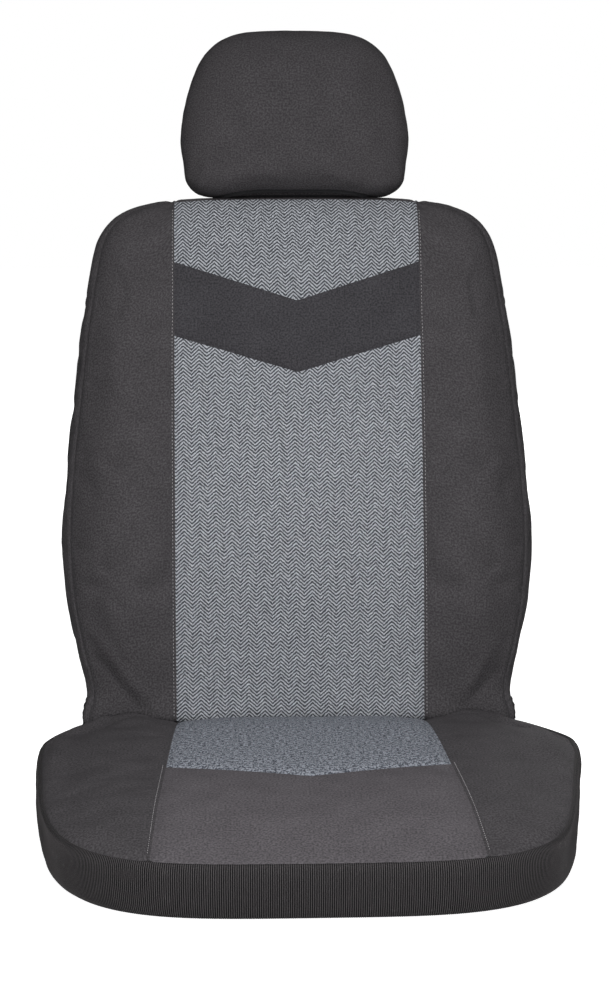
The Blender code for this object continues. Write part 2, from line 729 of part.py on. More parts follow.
SKIRT_SECTION = (                  # outward from the top seam, and height
    (0.0002, 0.0532), (0.0022, 0.0500), (0.0038, 0.0430), (0.0038, 0.0340), (0.0028, 0.0230),
    (0.0010, 0.0130), (-0.0020, 0.0055), (-0.0068, 0.0012), (-0.0120, 0.0), (-0.0340, 0.0),
)


def seat_skirt(finishes, parent):
    """Ribbed skirt round the cushion's sides and front, turned under at the foot into a flat hem."""
    x, y, out_x, out_y = seat_rim(np.linspace(0, 1, 25))
    xs = np.concatenate([x, -x[-2::-1]])
    ys = np.concatenate([y, y[-2::-1]])
    ways_x = np.concatenate([out_x, -out_x[-2::-1]])
    ways_y = np.concatenate([out_y, out_y[-2::-1]])
    points = []
    for out, height in SKIRT_SECTION:
        behind = np.minimum(ys + ways_y * out, SEAT_EDGE) + BIGHT_Y
        points.append(np.stack([xs + ways_x * out, behind, 0 * xs + height], -1))
    points = np.array(points)
    inward = np.stack([-ways_x * SLANT, -ways_y * SLANT, 0 * xs - SLANT], -1)
    inward = np.repeat(inward[None], len(points), axis=0)
    mesh = grid_mesh("seat_skirt", points, inward, "s")
    thing = add("seat_skirt", mesh, finishes["rib"], parent)
    orient(mesh, SEAT_CORE)
    solidify(thing, KNIT)


def seat_elastic(finishes, parent):
    """Elastic in the hem under the cushion, along the skirt's turned-under edge."""
    x, y, out_x, out_y = seat_rim(np.linspace(0.02, 1, 19))
    inset = -SKIRT_SECTION[-1][0] + 0.0006 + ELASTIC[0] / 2
    xs, ys = x - out_x * inset, np.minimum(y - out_y * inset, SEAT_EDGE) + BIGHT_Y
    path = np.stack([xs, ys, 0 * xs + 0.0006 + ELASTIC[1] / 2], -1)
    outs = np.stack([out_x, out_y, 0 * xs], -1)
    path = np.concatenate([path, path[-2::-1] * [-1, 1, 1]])
    outs = np.concatenate([outs, outs[-2::-1] * [-1, 1, 1]])
    upward = np.repeat([[0.0, 0.0, 1.0]], len(path), axis=0)
    band("skirt_hem_elastic", path, outs, upward, ELASTIC, finishes["elastic"], parent)


FLAP_SECTION = (                   # behind the bight, and height
    (0.0003, 0.0480), (0.0006, 0.0430), (0.0080, 0.0350), (0.0300, 0.0210), (0.0600, 0.0085),
    (0.0820, 0.0025), (0.0940, 0.0), (0.1280, 0.0),
)
FLAP_HALF = 0.200
FLAP_STRAP = 0.070                 # where the straps are sewn under the flap


def seat_flap(finishes, parent):
    """Flap that is pushed through the bight and down behind the cushion."""
    columns = np.linspace(-1, 1, 9)
    points = []
    for back, height in FLAP_SECTION:
        narrow = FLAP_HALF - 0.35 * max(back - 0.01, 0)
        points.append([[narrow * column, BIGHT_Y + back, height] for column in columns])
    points = np.array(points)
    mesh = grid_mesh("seat_tuck_flap", points, points * 0, "")
    thing = add("seat_tuck_flap", mesh, finishes["flap"], parent)
    orient(mesh, (0.0, BIGHT_Y + 0.3, 0.3))
    solidify(thing, KNIT)


# ---- Straps underneath --------------------------------------------------------------
LONG_STRAP_X = 0.100               # the lengthwise straps, either side of the middle
STRAP_ON_HEM = 0.0037              # heights of the straps' middle planes
STRAP_LOW = 0.0068
STRAP_HIGH = 0.0150                # the cross strap passes over the lengthwise ones
SOCKET_BACK = 0.0306               # where a strap meets the socket and the plug, from the mouth
PLUG_FRONT = 0.0170


def buckle_boxes():
    """Boxes of a side-release buckle along +x, its mouth at x = 0: the socket's, then the plug's."""
    wide, long, tall = BUCKLE
    wall = 0.0022
    w, t = wide / 2, tall / 2
    socket = [
        ((-long, -w, t - wall), (0, w, t)),
        ((-long, -w, -t), (0, w, -t + wall)),
        ((-long, -w, -t), (-long + 0.0070, w, t)),
        ((-long, -0.0045, -t), (-0.003, 0.0045, t)),
        ((-0.0040, -w, -t), (0, -w + wall, t)),
        ((-0.0040, w - wall, -t), (0, w, t)),
    ]
    inner = t - wall - 0.0004
    plug = [
        ((0.0006, -w, -t), (0.0066, w, t)),
        ((0.0060, -w, -t), (0.0166, -w + 0.0035, t)),
        ((0.0060, w - 0.0035, -t), (0.0166, w, t)),
        ((0.0136, -w, -t + 0.0028), (0.0166, w, t - 0.0028)),
        ((-PRONG, -w + wall + 0.0006, -inner), (0.0010, -0.0060, inner)),
        ((-PRONG, 0.0060, -inner), (0.0010, w - wall - 0.0006, inner)),
    ]
    return socket, plug


def turned(boxes, at, way):
    """Boxes along +x laid along +x or +y (way) at a place."""
    laid = []
    for low, high in boxes:
        if way == "y":
            low = (-low[1], low[0], low[2])
            high = (-high[1], high[0], high[2])
        low, high = np.minimum(low, high), np.maximum(low, high)
        laid.append((low + at, high + at))
    return laid


def strap(name, points, way, finish, parent):
    """A flat strap along points; way is the direction that it runs in, x or y."""
    path = np.array(points)
    across = np.array([0.0, 1.0, 0.0]) if way == "x" else np.array([1.0, 0.0, 0.0])
    run = np.gradient(path, axis=0)
    run /= np.linalg.norm(run, axis=1, keepdims=True)
    thick = np.cross(run, across)
    return band(name, path, [across] * len(path), thick, WEBBING, finish, parent)


def under_straps(finishes, root):
    """Three straps under the cushion: two lengthwise, from the front hem to the flap, and one across."""
    socket_boxes, plug_boxes = buckle_boxes()
    front = SEAT_MIDDLE - SEAT_FRONT + BIGHT_Y
    mouth_y = BIGHT_Y - 0.300
    flap_y = BIGHT_Y + FLAP_STRAP
    flap_z = float(np.interp(FLAP_STRAP, *zip(*FLAP_SECTION))) - WEBBING[1] / 2 - EDGE_GAP
    runs = []
    for side, x in (("left", -LONG_STRAP_X), ("right", LONG_STRAP_X)):
        web = [
            (x, front + 0.024, STRAP_ON_HEM),
            (x, front + 0.040, STRAP_ON_HEM),
            (x, front + 0.060, STRAP_LOW),
            (x, mouth_y - SOCKET_BACK, STRAP_LOW),
        ]
        stretch = [
            (x, mouth_y + PLUG_FRONT, STRAP_LOW),
            (x, BIGHT_Y + 0.044, STRAP_LOW),
            (x, flap_y, flap_z),
        ]
        runs.append((side, "y", np.array([x, mouth_y, STRAP_LOW]), web, stretch))
    y = BIGHT_Y - 0.170
    reach = SEAT_HALF - 0.022
    web = [
        (-reach, y, STRAP_ON_HEM),
        (-reach + 0.022, y, STRAP_ON_HEM),
        (-reach + 0.060, y, STRAP_HIGH),
        (-SOCKET_BACK, y, STRAP_HIGH),
    ]
    stretch = [
        (PLUG_FRONT, y, STRAP_HIGH),
        (reach - 0.060, y, STRAP_HIGH),
        (reach - 0.022, y, STRAP_ON_HEM),
        (reach, y, STRAP_ON_HEM),
    ]
    runs.append(("cross", "x", np.array([0.0, y, STRAP_HIGH]), web, stretch))
    for side, way, mouth, web, stretch in runs:
        strap(f"strap_webbing_{side}", web, way, finishes["webbing"], root)
        strap(f"strap_elastic_{side}", stretch, way, finishes["elastic"], root)
        box_parts(f"buckle_socket_{side}", turned(socket_boxes, mouth, way), finishes["plastic"], root)
        slider = empty(f"buckle_slide_{side}", (0, 0, 0), root)
        box_parts(f"buckle_plug_{side}", turned(plug_boxes, mouth, way), finishes["plastic"], slider)


# ---- Whole set ----------------------------------------------------------------------
def build():
    clear()
    finishes = {
        "insert": material("herringbone_insert", (123, 125, 129), 0.85),
        "chevron": material("chevron_knit", (68, 67, 70), 0.9),
        "knit": material("dark_knit", (72, 70, 72), 0.9),
        "front": material("front_knit", (86, 83, 86), 0.9),
        "rib": material("ribbed_knit", (56, 54, 55), 0.95),
        "flap": material("flap_cloth", (45, 45, 47), 0.9),
        "trim": material("binding", (40, 40, 42), 0.8),
        "elastic": material("elastic_band", (34, 34, 36), 0.85),
        "webbing": material("strap_webbing", (30, 30, 32), 0.8),
        "plastic": material("buckle_plastic", (24, 24, 26), 0.45),
    }
    root = empty("seat_cover_set", (0, 0, 0))
    recline = empty("recline_axis", (0, BIGHT_Y, BIGHT_Z), root, -LEAN)
    lift = empty("headrest_slide", (0, HEAD_DEPTH, HEAD_FOOT), recline)

    back_inserts(finishes, recline)
    for side, sign in (("left", -1), ("right", 1)):
        back_bolster(side, sign, finishes, recline)
        back_sides(side, sign, finishes, recline)
        seat_bolster(side, sign, finishes, root)
    back_top(finishes, recline)
    back_rear(finishes, recline)
    back_elastic(finishes, recline)

    head_panel("headrest_front_panel", True, finishes, lift)
    head_panel("headrest_back_panel", False, finishes, lift)
    head_elastic(finishes, lift)

    seat_inserts(finishes, root)
    seat_skirt(finishes, root)
    seat_elastic(finishes, root)
    seat_flap(finishes, root)
    under_straps(finishes, root)


build()
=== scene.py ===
"""The looks of the seat cover set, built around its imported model.

Each cover is a set of thin sewn panels over the same surfaces as the solids that they stand
for, with seams, stitching and folds. Metres, +Z up, the seat faces -Y and x = 0 is its middle.
"""
import json
import math

import bmesh
import bpy
import numpy as np
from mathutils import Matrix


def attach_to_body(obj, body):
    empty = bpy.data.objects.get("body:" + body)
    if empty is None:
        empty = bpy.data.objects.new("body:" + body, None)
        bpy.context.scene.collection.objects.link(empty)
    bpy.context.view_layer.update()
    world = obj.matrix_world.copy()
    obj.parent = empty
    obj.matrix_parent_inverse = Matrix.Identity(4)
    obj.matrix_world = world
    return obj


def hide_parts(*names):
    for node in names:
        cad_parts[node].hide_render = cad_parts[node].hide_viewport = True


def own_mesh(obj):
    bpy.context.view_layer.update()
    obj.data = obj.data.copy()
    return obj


# ---- Frame --------------------------------------------------------------------------
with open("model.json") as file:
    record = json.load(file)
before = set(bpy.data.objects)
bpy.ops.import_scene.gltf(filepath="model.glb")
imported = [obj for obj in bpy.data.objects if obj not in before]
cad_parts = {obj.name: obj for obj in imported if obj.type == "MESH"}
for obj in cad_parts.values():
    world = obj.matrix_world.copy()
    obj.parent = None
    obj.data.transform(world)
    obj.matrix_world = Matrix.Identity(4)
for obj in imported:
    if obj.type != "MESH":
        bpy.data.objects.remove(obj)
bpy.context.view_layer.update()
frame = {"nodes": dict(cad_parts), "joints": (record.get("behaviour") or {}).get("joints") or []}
JOINTS = {joint["name"]: joint for joint in frame["joints"]}
BIGHT_Y, BIGHT_Z = JOINTS["recline"]["pos_m"][1:]      # fold between cushion and backrest
LIFT_WAY = JOINTS["headrest_lift"]["axis"]
LEAN = math.atan2(LIFT_WAY[1], LIFT_WAY[2])
SIDES = (("left", -1), ("right", 1))
UP = np.array([0.0, 0.0, 1.0])

# ---- Sizes --------------------------------------------------------------------------
FABRIC = 0.0022                    # foam-backed cover fabric
SEAM_GAP = 0.0002                  # a panel's distance to its seam line
EDGE_ROUND = 0.0007                # rounding of a sewn edge
ALLOWANCE = 0.0055                 # turned-in edge
CELL = 0.0035                      # spacing of a panel's points

BACK_TALL = 0.599
BACK_CORNER = 0.098                # height of the rounded top
OUTLINE_POWER = 4.4                # squareness of the rounded top
SIDE_POWER = 2.9                   # squareness of the section
BACK_SEAM = 0.965                  # front and rear seams, as a share of the outline
SEAM_SHARE = SEAM_GAP / 0.25       # a panel's distance to that seam, as such a share
REAR_GAP = 0.006
TOP_HALF = 0.220                   # half width that the top's curve belongs to
BACK_FOOT = 0.003                  # lower edge above the recline axis
FOOT_FLARE = 0.030                 # share by which the open foot spreads
SIDE_FOOT = -0.006                 # lower front corner of the side gussets
REAR_FOOT = 0.052                  # lower edge of the rear panel
FOOT_ROLL = 0.006                  # the front's lower edge rolls back into the fold
BOLSTER_TALL = 0.028               # the side bolsters stand this far forward
LUMBAR_TALL = 0.012                # and the lumbar swell this far
INSERT_HALF = 0.139                # half width of the centre insert
CHEVRON_TOP = (0.518, 0.473)       # upper edge at the sides and at the middle
CHEVRON_FOOT = (0.433, 0.391)      # lower edge at the sides and at the middle

# Half width, half thickness and middle plane of the backrest, by height along its lean
BACK_HALF_WIDTHS = (
    (-0.05, 0.2490), (0.0, 0.2420), (0.04, 0.2425), (0.08, 0.2530), (0.14, 0.2645),
    (0.20, 0.2690), (0.28, 0.2650), (0.36, 0.2565), (0.46, 0.2445), (0.56, 0.2275),
    (0.65, 0.2060),
)
BACK_HALF_DEPTHS = (
    (-0.05, 0.050), (0.0, 0.052), (0.10, 0.060), (0.25, 0.064), (0.45, 0.056), (0.65, 0.045),
)
BACK_MIDDLES = (
    (-0.05, 0.052), (0.0, 0.052), (0.10, 0.058), (0.25, 0.062), (0.45, 0.062), (0.65, 0.066),
)

HEAD_FOOT = 0.602                  # underside of the headrest above the axis
HEAD_DEPTH = 0.056                 # its middle plane behind the axis
HEAD_TALL = 0.188
HEAD_HALF_DEPTH = 0.052
HEAD_TOP_ROUND = 0.085
HEAD_FOOT_ROUND = 0.040
HEAD_OUTLINE_POWER = 4.0
HEAD_SIDE_POWER = 2.6
HEAD_HALF_WIDTHS = (
    (-0.02, 0.137), (0.0, 0.130), (0.03, 0.1285), (0.06, 0.1315), (0.10, 0.127),
    (0.15, 0.113), (0.20, 0.096),
)
HEAD_SEAM_TURN = math.radians(12)
HEAD_MOUTH_TURN = math.radians(14)
HEAD_ELASTIC_INSET = 0.0020
HEAD_DROP = 0.0065                 # its foot hangs lower at the ends

SEAT_HALF = 0.2745                 # half width of the cushion
SEAT_MIDDLE = -0.080               # where it is widest, from the bight
SEAT_FRONT = 0.386                 # from the widest place to the front seam
SEAT_REAR = 0.170                  # rounding of the rear shoulders
SEAT_POWER = 3.8                   # squareness of the outline ahead of there
SEAT_REAR_POWER = 2.0
SEAT_SEAM_Z = 0.054                # top seam of the skirt
SEAT_CROWN = 0.024                 # how far the top swells up
SEAT_SIDE = 0.006                  # and more along the sides
SEAT_PUFF = 0.0065                 # fullness beside the skirt's seam
SEAT_EDGE = -0.0030                # rear edge of the cushion panels, from the bight
SEAT_ROLL = 0.008                  # the rear edge rolls down into the fold
SEAT_RISE = 0.0100                 # the side panels climb towards the backrest
SEAT_REACH = 0.0180                # and reach back beside the insert
SEAT_BULGE = (0.0078, 0.0205)      # the rear corners stand out sideways, left and right
SEAT_WAIST = (0.0030, 0.0085)      # and the sides draw in ahead of them
BULGE_LENGTHS = (0.052, 0.095)     # of that bulge, behind its middle and ahead of it
WAIST_Y = -0.320                   # where the sides draw in most
SEAT_INSERT_HALF = (0.136, 0.155)  # half width of the insert at the rear and the front
SEAT_CORNER_GAP = 0.008            # the side panels' front points end this far out
SEAT_SPLIT = (-0.222, -0.268)      # rear insert's front edge at the sides and the middle
SPLIT_HALF = 0.140                 # half width at which that edge reaches the sides
FRONT_SPREAD = 1.1                 # the front edge is read this much further out

SKIRT_SECTION = (                  # outward from the top seam, and height
    (0.0002, 0.0532), (0.0022, 0.0500), (0.0038, 0.0430), (0.0038, 0.0340), (0.0028, 0.0230),
    (0.0010, 0.0130), (-0.0020, 0.0055), (-0.0068, 0.0012), (-0.0120, 0.0), (-0.0340, 0.0),
)
RIB = 0.0020                       # pitch of the skirt's ribs
RIB_TALL = 0.00042

POST_SPACING = 0.140
SLOT = (0.034, 0.024)
SLOT_DROP = 0.004                  # the bindings' middle below the cover's top
ELASTIC = (0.008, 0.0018)          # widths and thicknesses of the bands
WEBBING = (0.025, 0.0015)
BINDING = (0.0064, 0.0030)
BINDING_INSET = 0.0019
EDGE_GAP = 0.0010
ELASTIC_LIFT = 0.0006              # the cushion's elastic above the hem

FLAP_SECTION = (                   # behind the bight, and height
    (0.0003, 0.0480), (0.0006, 0.0430), (0.0080, 0.0350), (0.0300, 0.0210), (0.0600, 0.0085),
    (0.0820, 0.0025), (0.0940, 0.0), (0.1280, 0.0),
)
FLAP_HALF = 0.200
FLAP_WIDER = 0.026                 # the flap is wider where it leaves the fold
FLAP_ABOVE = 0.0008                # its cloth lies this far above the section
FLAP_STRAP = 0.070
LONG_STRAP_X = 0.100
STRAP_ON_HEM = 0.0037
STRAP_LOW = 0.0068
STRAP_HIGH = 0.0150
SOCKET_BACK = 0.0306
PLUG_FRONT = 0.0170


# ---- Curves and surfaces ------------------------------------------------------------
def smooth_curve(points):
    """A smooth function through (position, value) pairs."""
    at = np.array([point[0] for point in points])
    value = np.array([point[1] for point in points])
    slope = np.gradient(value, at)

    def read(position):
        position = np.clip(position, at[0], at[-1])
        index = np.clip(np.searchsorted(at, position, side="right") - 1, 0, len(at) - 2)
        span = at[index + 1] - at[index]
        s = (position - at[index]) / span
        keep = (2 * s**3 - 3 * s**2 + 1) * value[index] + (3 * s**2 - 2 * s**3) * value[index + 1]
        turn = (s**3 - 2 * s**2 + s) * slope[index] + (s**3 - s**2) * slope[index + 1]
        return keep + span * turn

    return read


def swell(position, middle, width):
    return np.exp(-(((position - middle) / width) ** 2))


def ease(position, start, end):
    s = np.clip((position - start) / (end - start), 0.0, 1.0)
    return s * s * (3 - 2 * s)


def outline_share(a, b, power):
    """Share of the way from the middle to a rounded outline; the power is its squareness."""
    return (np.abs(a) ** power + np.abs(b) ** power) ** (1 / power)


def smooth_path(at, points):
    """A smooth function for each coordinate of points placed along a path."""
    return [smooth_curve(list(zip(at, points[:, k]))) for k in range(points.shape[1])]


def unit(ways):
    """The same directions with a length of one."""
    return ways / np.maximum(np.linalg.norm(ways, axis=-1, keepdims=True), 1e-12)


def walk_along(path):
    """Distance of each point of a path from its first one."""
    return np.concatenate([[0], np.cumsum(np.linalg.norm(np.diff(path, axis=0), axis=1))])


def read_along(at, walked, values):
    """The values of a path's points, read at distances along it."""
    return np.stack([np.interp(at, walked, values[:, k]) for k in range(3)], -1)


def mirrored(half):
    """A path up to the middle plane, and on along its mirror image."""
    return np.concatenate([half, half[-2::-1] * [-1, 1, 1]])


def last_wider(half_at, half, low):
    """The last place from low to 1 where a rim is still wider than this."""
    high = 1.0
    for _ in range(40):
        middle = (low + high) / 2
        if half_at(middle) > half:
            low = middle
        else:
            high = middle
    return low


back_half_plain = smooth_curve(BACK_HALF_WIDTHS)
back_half_depth = smooth_curve(BACK_HALF_DEPTHS)
back_middle = smooth_curve(BACK_MIDDLES)
head_half_width = smooth_curve(HEAD_HALF_WIDTHS)


def back_half_width(height):
    """Half width of the backrest; the open foot flares out over the cushion's shoulders."""
    return back_half_plain(height) * (1 + FOOT_FLARE * (1 - ease(height, -0.005, 0.035)))


def section(turn, power):
    """Shares of the outline and of the depth, for a turn from 90 degrees (front) to -90 (rear)."""
    across = np.cos(turn) ** (2 / power)
    depth = -np.sign(turn) * np.abs(np.sin(turn)) ** (2 / power)
    return across, depth


def seam_turn(share, power):
    """The section angle at which the surface is this share of the way to the outline."""
    return math.acos(share ** (power / 2))


def back_depth(x, height, depth_share):
    """Depth of the backrest's surface: section, side bolsters and lumbar swell."""
    front = np.clip(-depth_share, 0.0, 1.0)
    upper = 1 - 0.8 * ease(height, 0.34, 0.60)
    bolster = BOLSTER_TALL * swell(np.abs(x), 0.200, 0.042) * ease(height, 0.0, 0.14) * upper
    lumbar = LUMBAR_TALL * swell(height, 0.20, 0.13) * swell(x, 0.0, 0.15)
    return back_middle(height) + back_half_depth(height) * depth_share - front * (bolster + lumbar)


def back_face(x, height, front=True):
    """Point of the backrest's front or rear face."""
    above = np.clip((height - BACK_TALL + BACK_CORNER) / BACK_CORNER, 0.0, None)
    share = np.clip(outline_share(x / back_half_width(height), above, OUTLINE_POWER), 0.0, 1.0)
    depth = (1 - share**SIDE_POWER) ** (1 / SIDE_POWER)
    depth = -depth if front else depth
    return np.stack([x, back_depth(x, height, depth), height], -1)


def back_rim(along, turn, foot=BACK_FOOT):
    """Point of the backrest's edge; along runs from the foot (0) over the corner to the top (1)."""
    share, depth = section(turn, SIDE_POWER)
    straight = BACK_TALL - BACK_CORNER
    corner = np.clip((along - 0.6) / 0.4, 0.0, 1.0) * math.pi / 2
    out = np.cos(corner) ** (2 / OUTLINE_POWER)
    up = np.sin(corner) ** (2 / OUTLINE_POWER)
    height = foot + (straight - foot) * np.clip(along / 0.6, 0.0, 1.0) + BACK_CORNER * share * up
    x = share * out * back_half_width(height)
    return np.stack([x, back_depth(x, height, depth), height], -1)


def rim_at_insert(turn):
    """How far along the rim the insert's seam meets the top."""
    return last_wider(lambda along: back_rim(along, turn)[0], INSERT_HALF, 0.6)


def seat_share(x, y):
    """Share of the way from the cushion's middle to its outline, y from the bight."""
    length = np.where(y < SEAT_MIDDLE, SEAT_FRONT, SEAT_REAR)
    power = np.where(y < SEAT_MIDDLE, SEAT_POWER, SEAT_REAR_POWER)
    return outline_share(x / SEAT_HALF, (y - SEAT_MIDDLE) / length, power)


def seat_rise(x, y):
    """How far the cushion's rear corners climb towards the backrest."""
    out = ease(np.abs(x), 0.140, 0.190) * (1 - 0.85 * ease(np.abs(x), 0.190, 0.235))
    return SEAT_RISE * out * swell(np.clip(y, -1, 0), 0.0, 0.040)


def seat_bulge(x, y):
    """How far the cushion's rear corners stand out sideways, the right one most."""
    most = np.where(x > 0, SEAT_BULGE[1], SEAT_BULGE[0])
    least = np.where(x > 0, SEAT_WAIST[1], SEAT_WAIST[0])
    length = np.where(y > SEAT_MIDDLE, *BULGE_LENGTHS)
    bulge = most * swell(y, SEAT_MIDDLE, length) - least * swell(y, WAIST_Y, 0.09)
    return np.sign(x) * bulge * ease(np.abs(x), 0.150, 0.250)


def seat_top(x, y):
    """Point of the cushion's top; it falls to the bight behind and to the skirt's seam around."""
    middle = (SEAT_MIDDLE - SEAT_FRONT) / 2
    share = outline_share(x / (SEAT_HALF + 0.004), (y - middle) / middle, SEAT_POWER)
    edge = np.clip(seat_share(x, y), 0.0, 1.0)
    crown = (1 - np.clip(share, 0.0, 1.0) ** 2.4) ** 0.75 * (1 - edge**10) ** 0.5
    side = SEAT_SIDE * swell(np.abs(x), 0.205, 0.040) * ease(-y, 0.0, 0.10)
    base = BIGHT_Z + (SEAT_SEAM_Z - BIGHT_Z) * ease(-y, 0.0, 0.2)
    base = base - (BIGHT_Z - SEAT_SEAM_Z) * (1 - ease(-y, 0.0, 0.2)) * ease(np.abs(x), 0.19, 0.245)
    return np.stack([x, y + BIGHT_Y, base + seat_rise(x, y) + (SEAT_CROWN + side) * crown], -1)


def seat_rim(along, y_end=SEAT_EDGE):
    """Outline of the cushion in plan and its outward direction, from the rear (0) to the front (1)."""
    first = math.asin(((y_end - SEAT_MIDDLE) / SEAT_REAR) ** (SEAT_REAR_POWER / 2))
    angle = first - along * (first + math.pi / 2)
    length = np.where(angle < 0, SEAT_FRONT, SEAT_REAR)
    power = np.where(angle < 0, SEAT_POWER, SEAT_REAR_POWER)
    x = SEAT_HALF * np.cos(angle) ** (2 / power)
    reach = np.sign(angle) * np.abs(np.sin(angle)) ** (2 / power)
    out_x = (x / SEAT_HALF) ** (power - 1) / SEAT_HALF
    out_y = np.sign(reach) * np.abs(reach) ** (power - 1) / length
    size = np.hypot(out_x, out_y)
    return x, SEAT_MIDDLE + length * reach, out_x / size, out_y / size


def seat_rim_at(half):
    """How far along the rim the front's seam at this half width is."""
    return last_wider(lambda along: seat_rim(along)[0], half, 0.5)


def head_point(out, up, turn):
    """Point of the headrest's surface; (out, up) is a direction on its unit outline."""
    share, depth = section(turn, HEAD_SIDE_POWER)
    straight = HEAD_TALL - HEAD_TOP_ROUND - HEAD_FOOT_ROUND
    rise = np.where(up > 0, HEAD_TOP_ROUND, HEAD_FOOT_ROUND) * up
    level = HEAD_FOOT_ROUND + straight * (np.clip(up, -0.5, 0.5) + 0.5)
    height = level + rise * share
    x = share * out * head_half_width(height)
    tuck = 0.010 * (1 - ease(height, 0.0, 0.075)) * np.abs(depth)
    drop = HEAD_DROP * ease(np.abs(x), 0.035, 0.105) * (1 - ease(height, 0.0, 0.040))
    return np.stack([x, depth * (HEAD_HALF_DEPTH - tuck), height - drop], -1)


def lean(points):
    """From the backrest's own directions (across, depth, height) into place."""
    x, depth, height = np.moveaxis(np.asarray(points, float), -1, 0)
    y = BIGHT_Y + height * math.sin(LEAN) + depth * math.cos(LEAN)
    z = BIGHT_Z + height * math.cos(LEAN) - depth * math.sin(LEAN)
    return np.stack([x, y, z], -1)


def lift(points):
    """From the headrest's own directions into place."""
    return lean(points + np.array([0.0, HEAD_DEPTH, HEAD_FOOT]))


def stay(points):
    """The cushion's own directions are those of the whole set."""
    return points


def turned(to_world, points, ways):
    """Directions at points, carried into place."""
    return to_world(points + ways) - to_world(points)


# A point inside each cover, and the way from its own directions into place
BACK_CORE = np.array([0.0, 0.056, 0.30])
HEAD_CORE = np.array([0.0, 0.0, 0.09])
SEAT_CORE = np.array([0.0, BIGHT_Y - 0.22, 0.02])
COVERS = {
    "backrest_cover": (BACK_CORE, lean),
    "headrest_cover": (HEAD_CORE, lift),
    "cushion_cover": (SEAT_CORE, stay),
}


# ---- Finishes -----------------------------------------------------------------------
def tone(red, green, blue):
    """A colour from its 0 to 255 values on a screen."""
    return tuple((part / 255) ** 2.2 for part in (red, green, blue)) + (1.0,)


class Finish:
    """One material and the nodes that make it."""

    def __init__(self, name, roughness, specular=0.2):
        self.material = bpy.data.materials.new(name)
        self.material.use_nodes = True
        self.tree = self.material.node_tree
        self.shader = self.tree.nodes["Principled BSDF"]
        self.shader.inputs["Roughness"].default_value = roughness
        self.shader.inputs["Specular IOR Level"].default_value = specular
        self.place = self.node("ShaderNodeUVMap", uv_map="weave").outputs[0]
        split = self.node("ShaderNodeSeparateXYZ")
        self.feed(split.inputs[0], self.place)
        self.across, self.along = split.outputs[0], split.outputs[1]

    def node(self, kind, **settings):
        made = self.tree.nodes.new(kind)
        for key, value in settings.items():
            setattr(made, key, value)
        return made

    def feed(self, socket, value):
        if isinstance(value, bpy.types.NodeSocket):
            self.tree.links.new(value, socket)
        else:
            socket.default_value = value

    def math(self, operation, *values):
        made = self.node("ShaderNodeMath", operation=operation)
        for socket, value in zip(made.inputs, values):
            self.feed(socket, value)
        return made.outputs[0]

    def times(self, *values):
        return self.math("MULTIPLY", *values)

    def plus(self, *values):
        return self.math("ADD", *values)

    def scaled(self, value, factor, start):
        return self.math("MULTIPLY_ADD", value, factor, start)

    def noise(self, size, detail=2.0, stretch=(1.0, 1.0, 1.0)):
        """Noise from 0 to 1 with marks of about this size."""
        scaled = self.node("ShaderNodeVectorMath", operation="MULTIPLY")
        self.feed(scaled.inputs[0], self.place)
        scaled.inputs[1].default_value = [part / size for part in stretch]
        made = self.node("ShaderNodeTexNoise")
        self.feed(made.inputs["Vector"], scaled.outputs[0])
        made.inputs["Scale"].default_value = 1.0
        made.inputs["Detail"].default_value = detail
        return made.outputs["Fac"]

    def wave(self, position, pitch):
        """0 to 1 and back along a position."""
        turned = self.math("SINE", self.times(position, 2 * math.pi / pitch))
        return self.scaled(turned, 0.5, 0.5)

    def between(self, value, low, high, start=0.0, end=1.0):
        made = self.node("ShaderNodeMapRange", interpolation_type="SMOOTHSTEP")
        for socket, part in zip(made.inputs, (value, low, high, start, end)):
            self.feed(socket, part)
        return made.outputs[0]

    def mix(self, share, first, second, way="MIX"):
        made = self.node("ShaderNodeMix", data_type="RGBA", blend_type=way)
        self.feed(made.inputs[0], share)
        self.feed(made.inputs[6], first)
        self.feed(made.inputs[7], second)
        return made.outputs[2]

    def shaded(self, colour, value):
        """The colour made darker or lighter by a factor."""
        grey = self.node("ShaderNodeCombineColor")
        for socket in grey.inputs:
            self.feed(socket, value)
        return self.mix(1.0, colour, grey.outputs[0], "MULTIPLY")

    def done(self, colour, height, depth):
        """Sets the colour, and the relief's height from 0 to 1 and its depth in metres."""
        self.feed(self.shader.inputs["Base Color"], colour)
        bump = self.node("ShaderNodeBump")
        bump.inputs["Strength"].default_value = 1.0
        bump.inputs["Distance"].default_value = depth
        self.feed(bump.inputs["Height"], height)
        self.feed(self.shader.inputs["Normal"], bump.outputs[0])
        return self.material


def knit(name, shade, grain=0.17):
    """Fine jersey, foam backed: small wales with a soft grain."""
    made = Finish(name, 1.0, specular=0.12)
    wale = made.wave(made.across, 0.0011)
    zig = made.math("PINGPONG", made.across, 0.00055)
    loop = made.wave(made.plus(made.along, zig), 0.0009)
    height = made.times(wale, made.scaled(loop, 0.5, 0.5))
    fuzz = made.between(made.noise(0.0021, 3.0), 0.32, 0.68)
    cloud = made.noise(0.035, 3.0)
    grainy = made.scaled(fuzz, 4 * grain, 1 - 2 * grain)
    cloudy = made.scaled(cloud, 0.40, 0.80)
    dips = made.scaled(height, 0.10, 0.95)
    factor = made.times(made.times(grainy, cloudy), dips)
    relief = made.plus(height, made.times(fuzz, 0.8))
    return made.done(made.shaded(tone(*shade), factor), relief, 0.00010)


HERRINGBONE = (0.0178, 0.0041, 0.92)   # period of the zigzag, pitch of its lines, and their slope


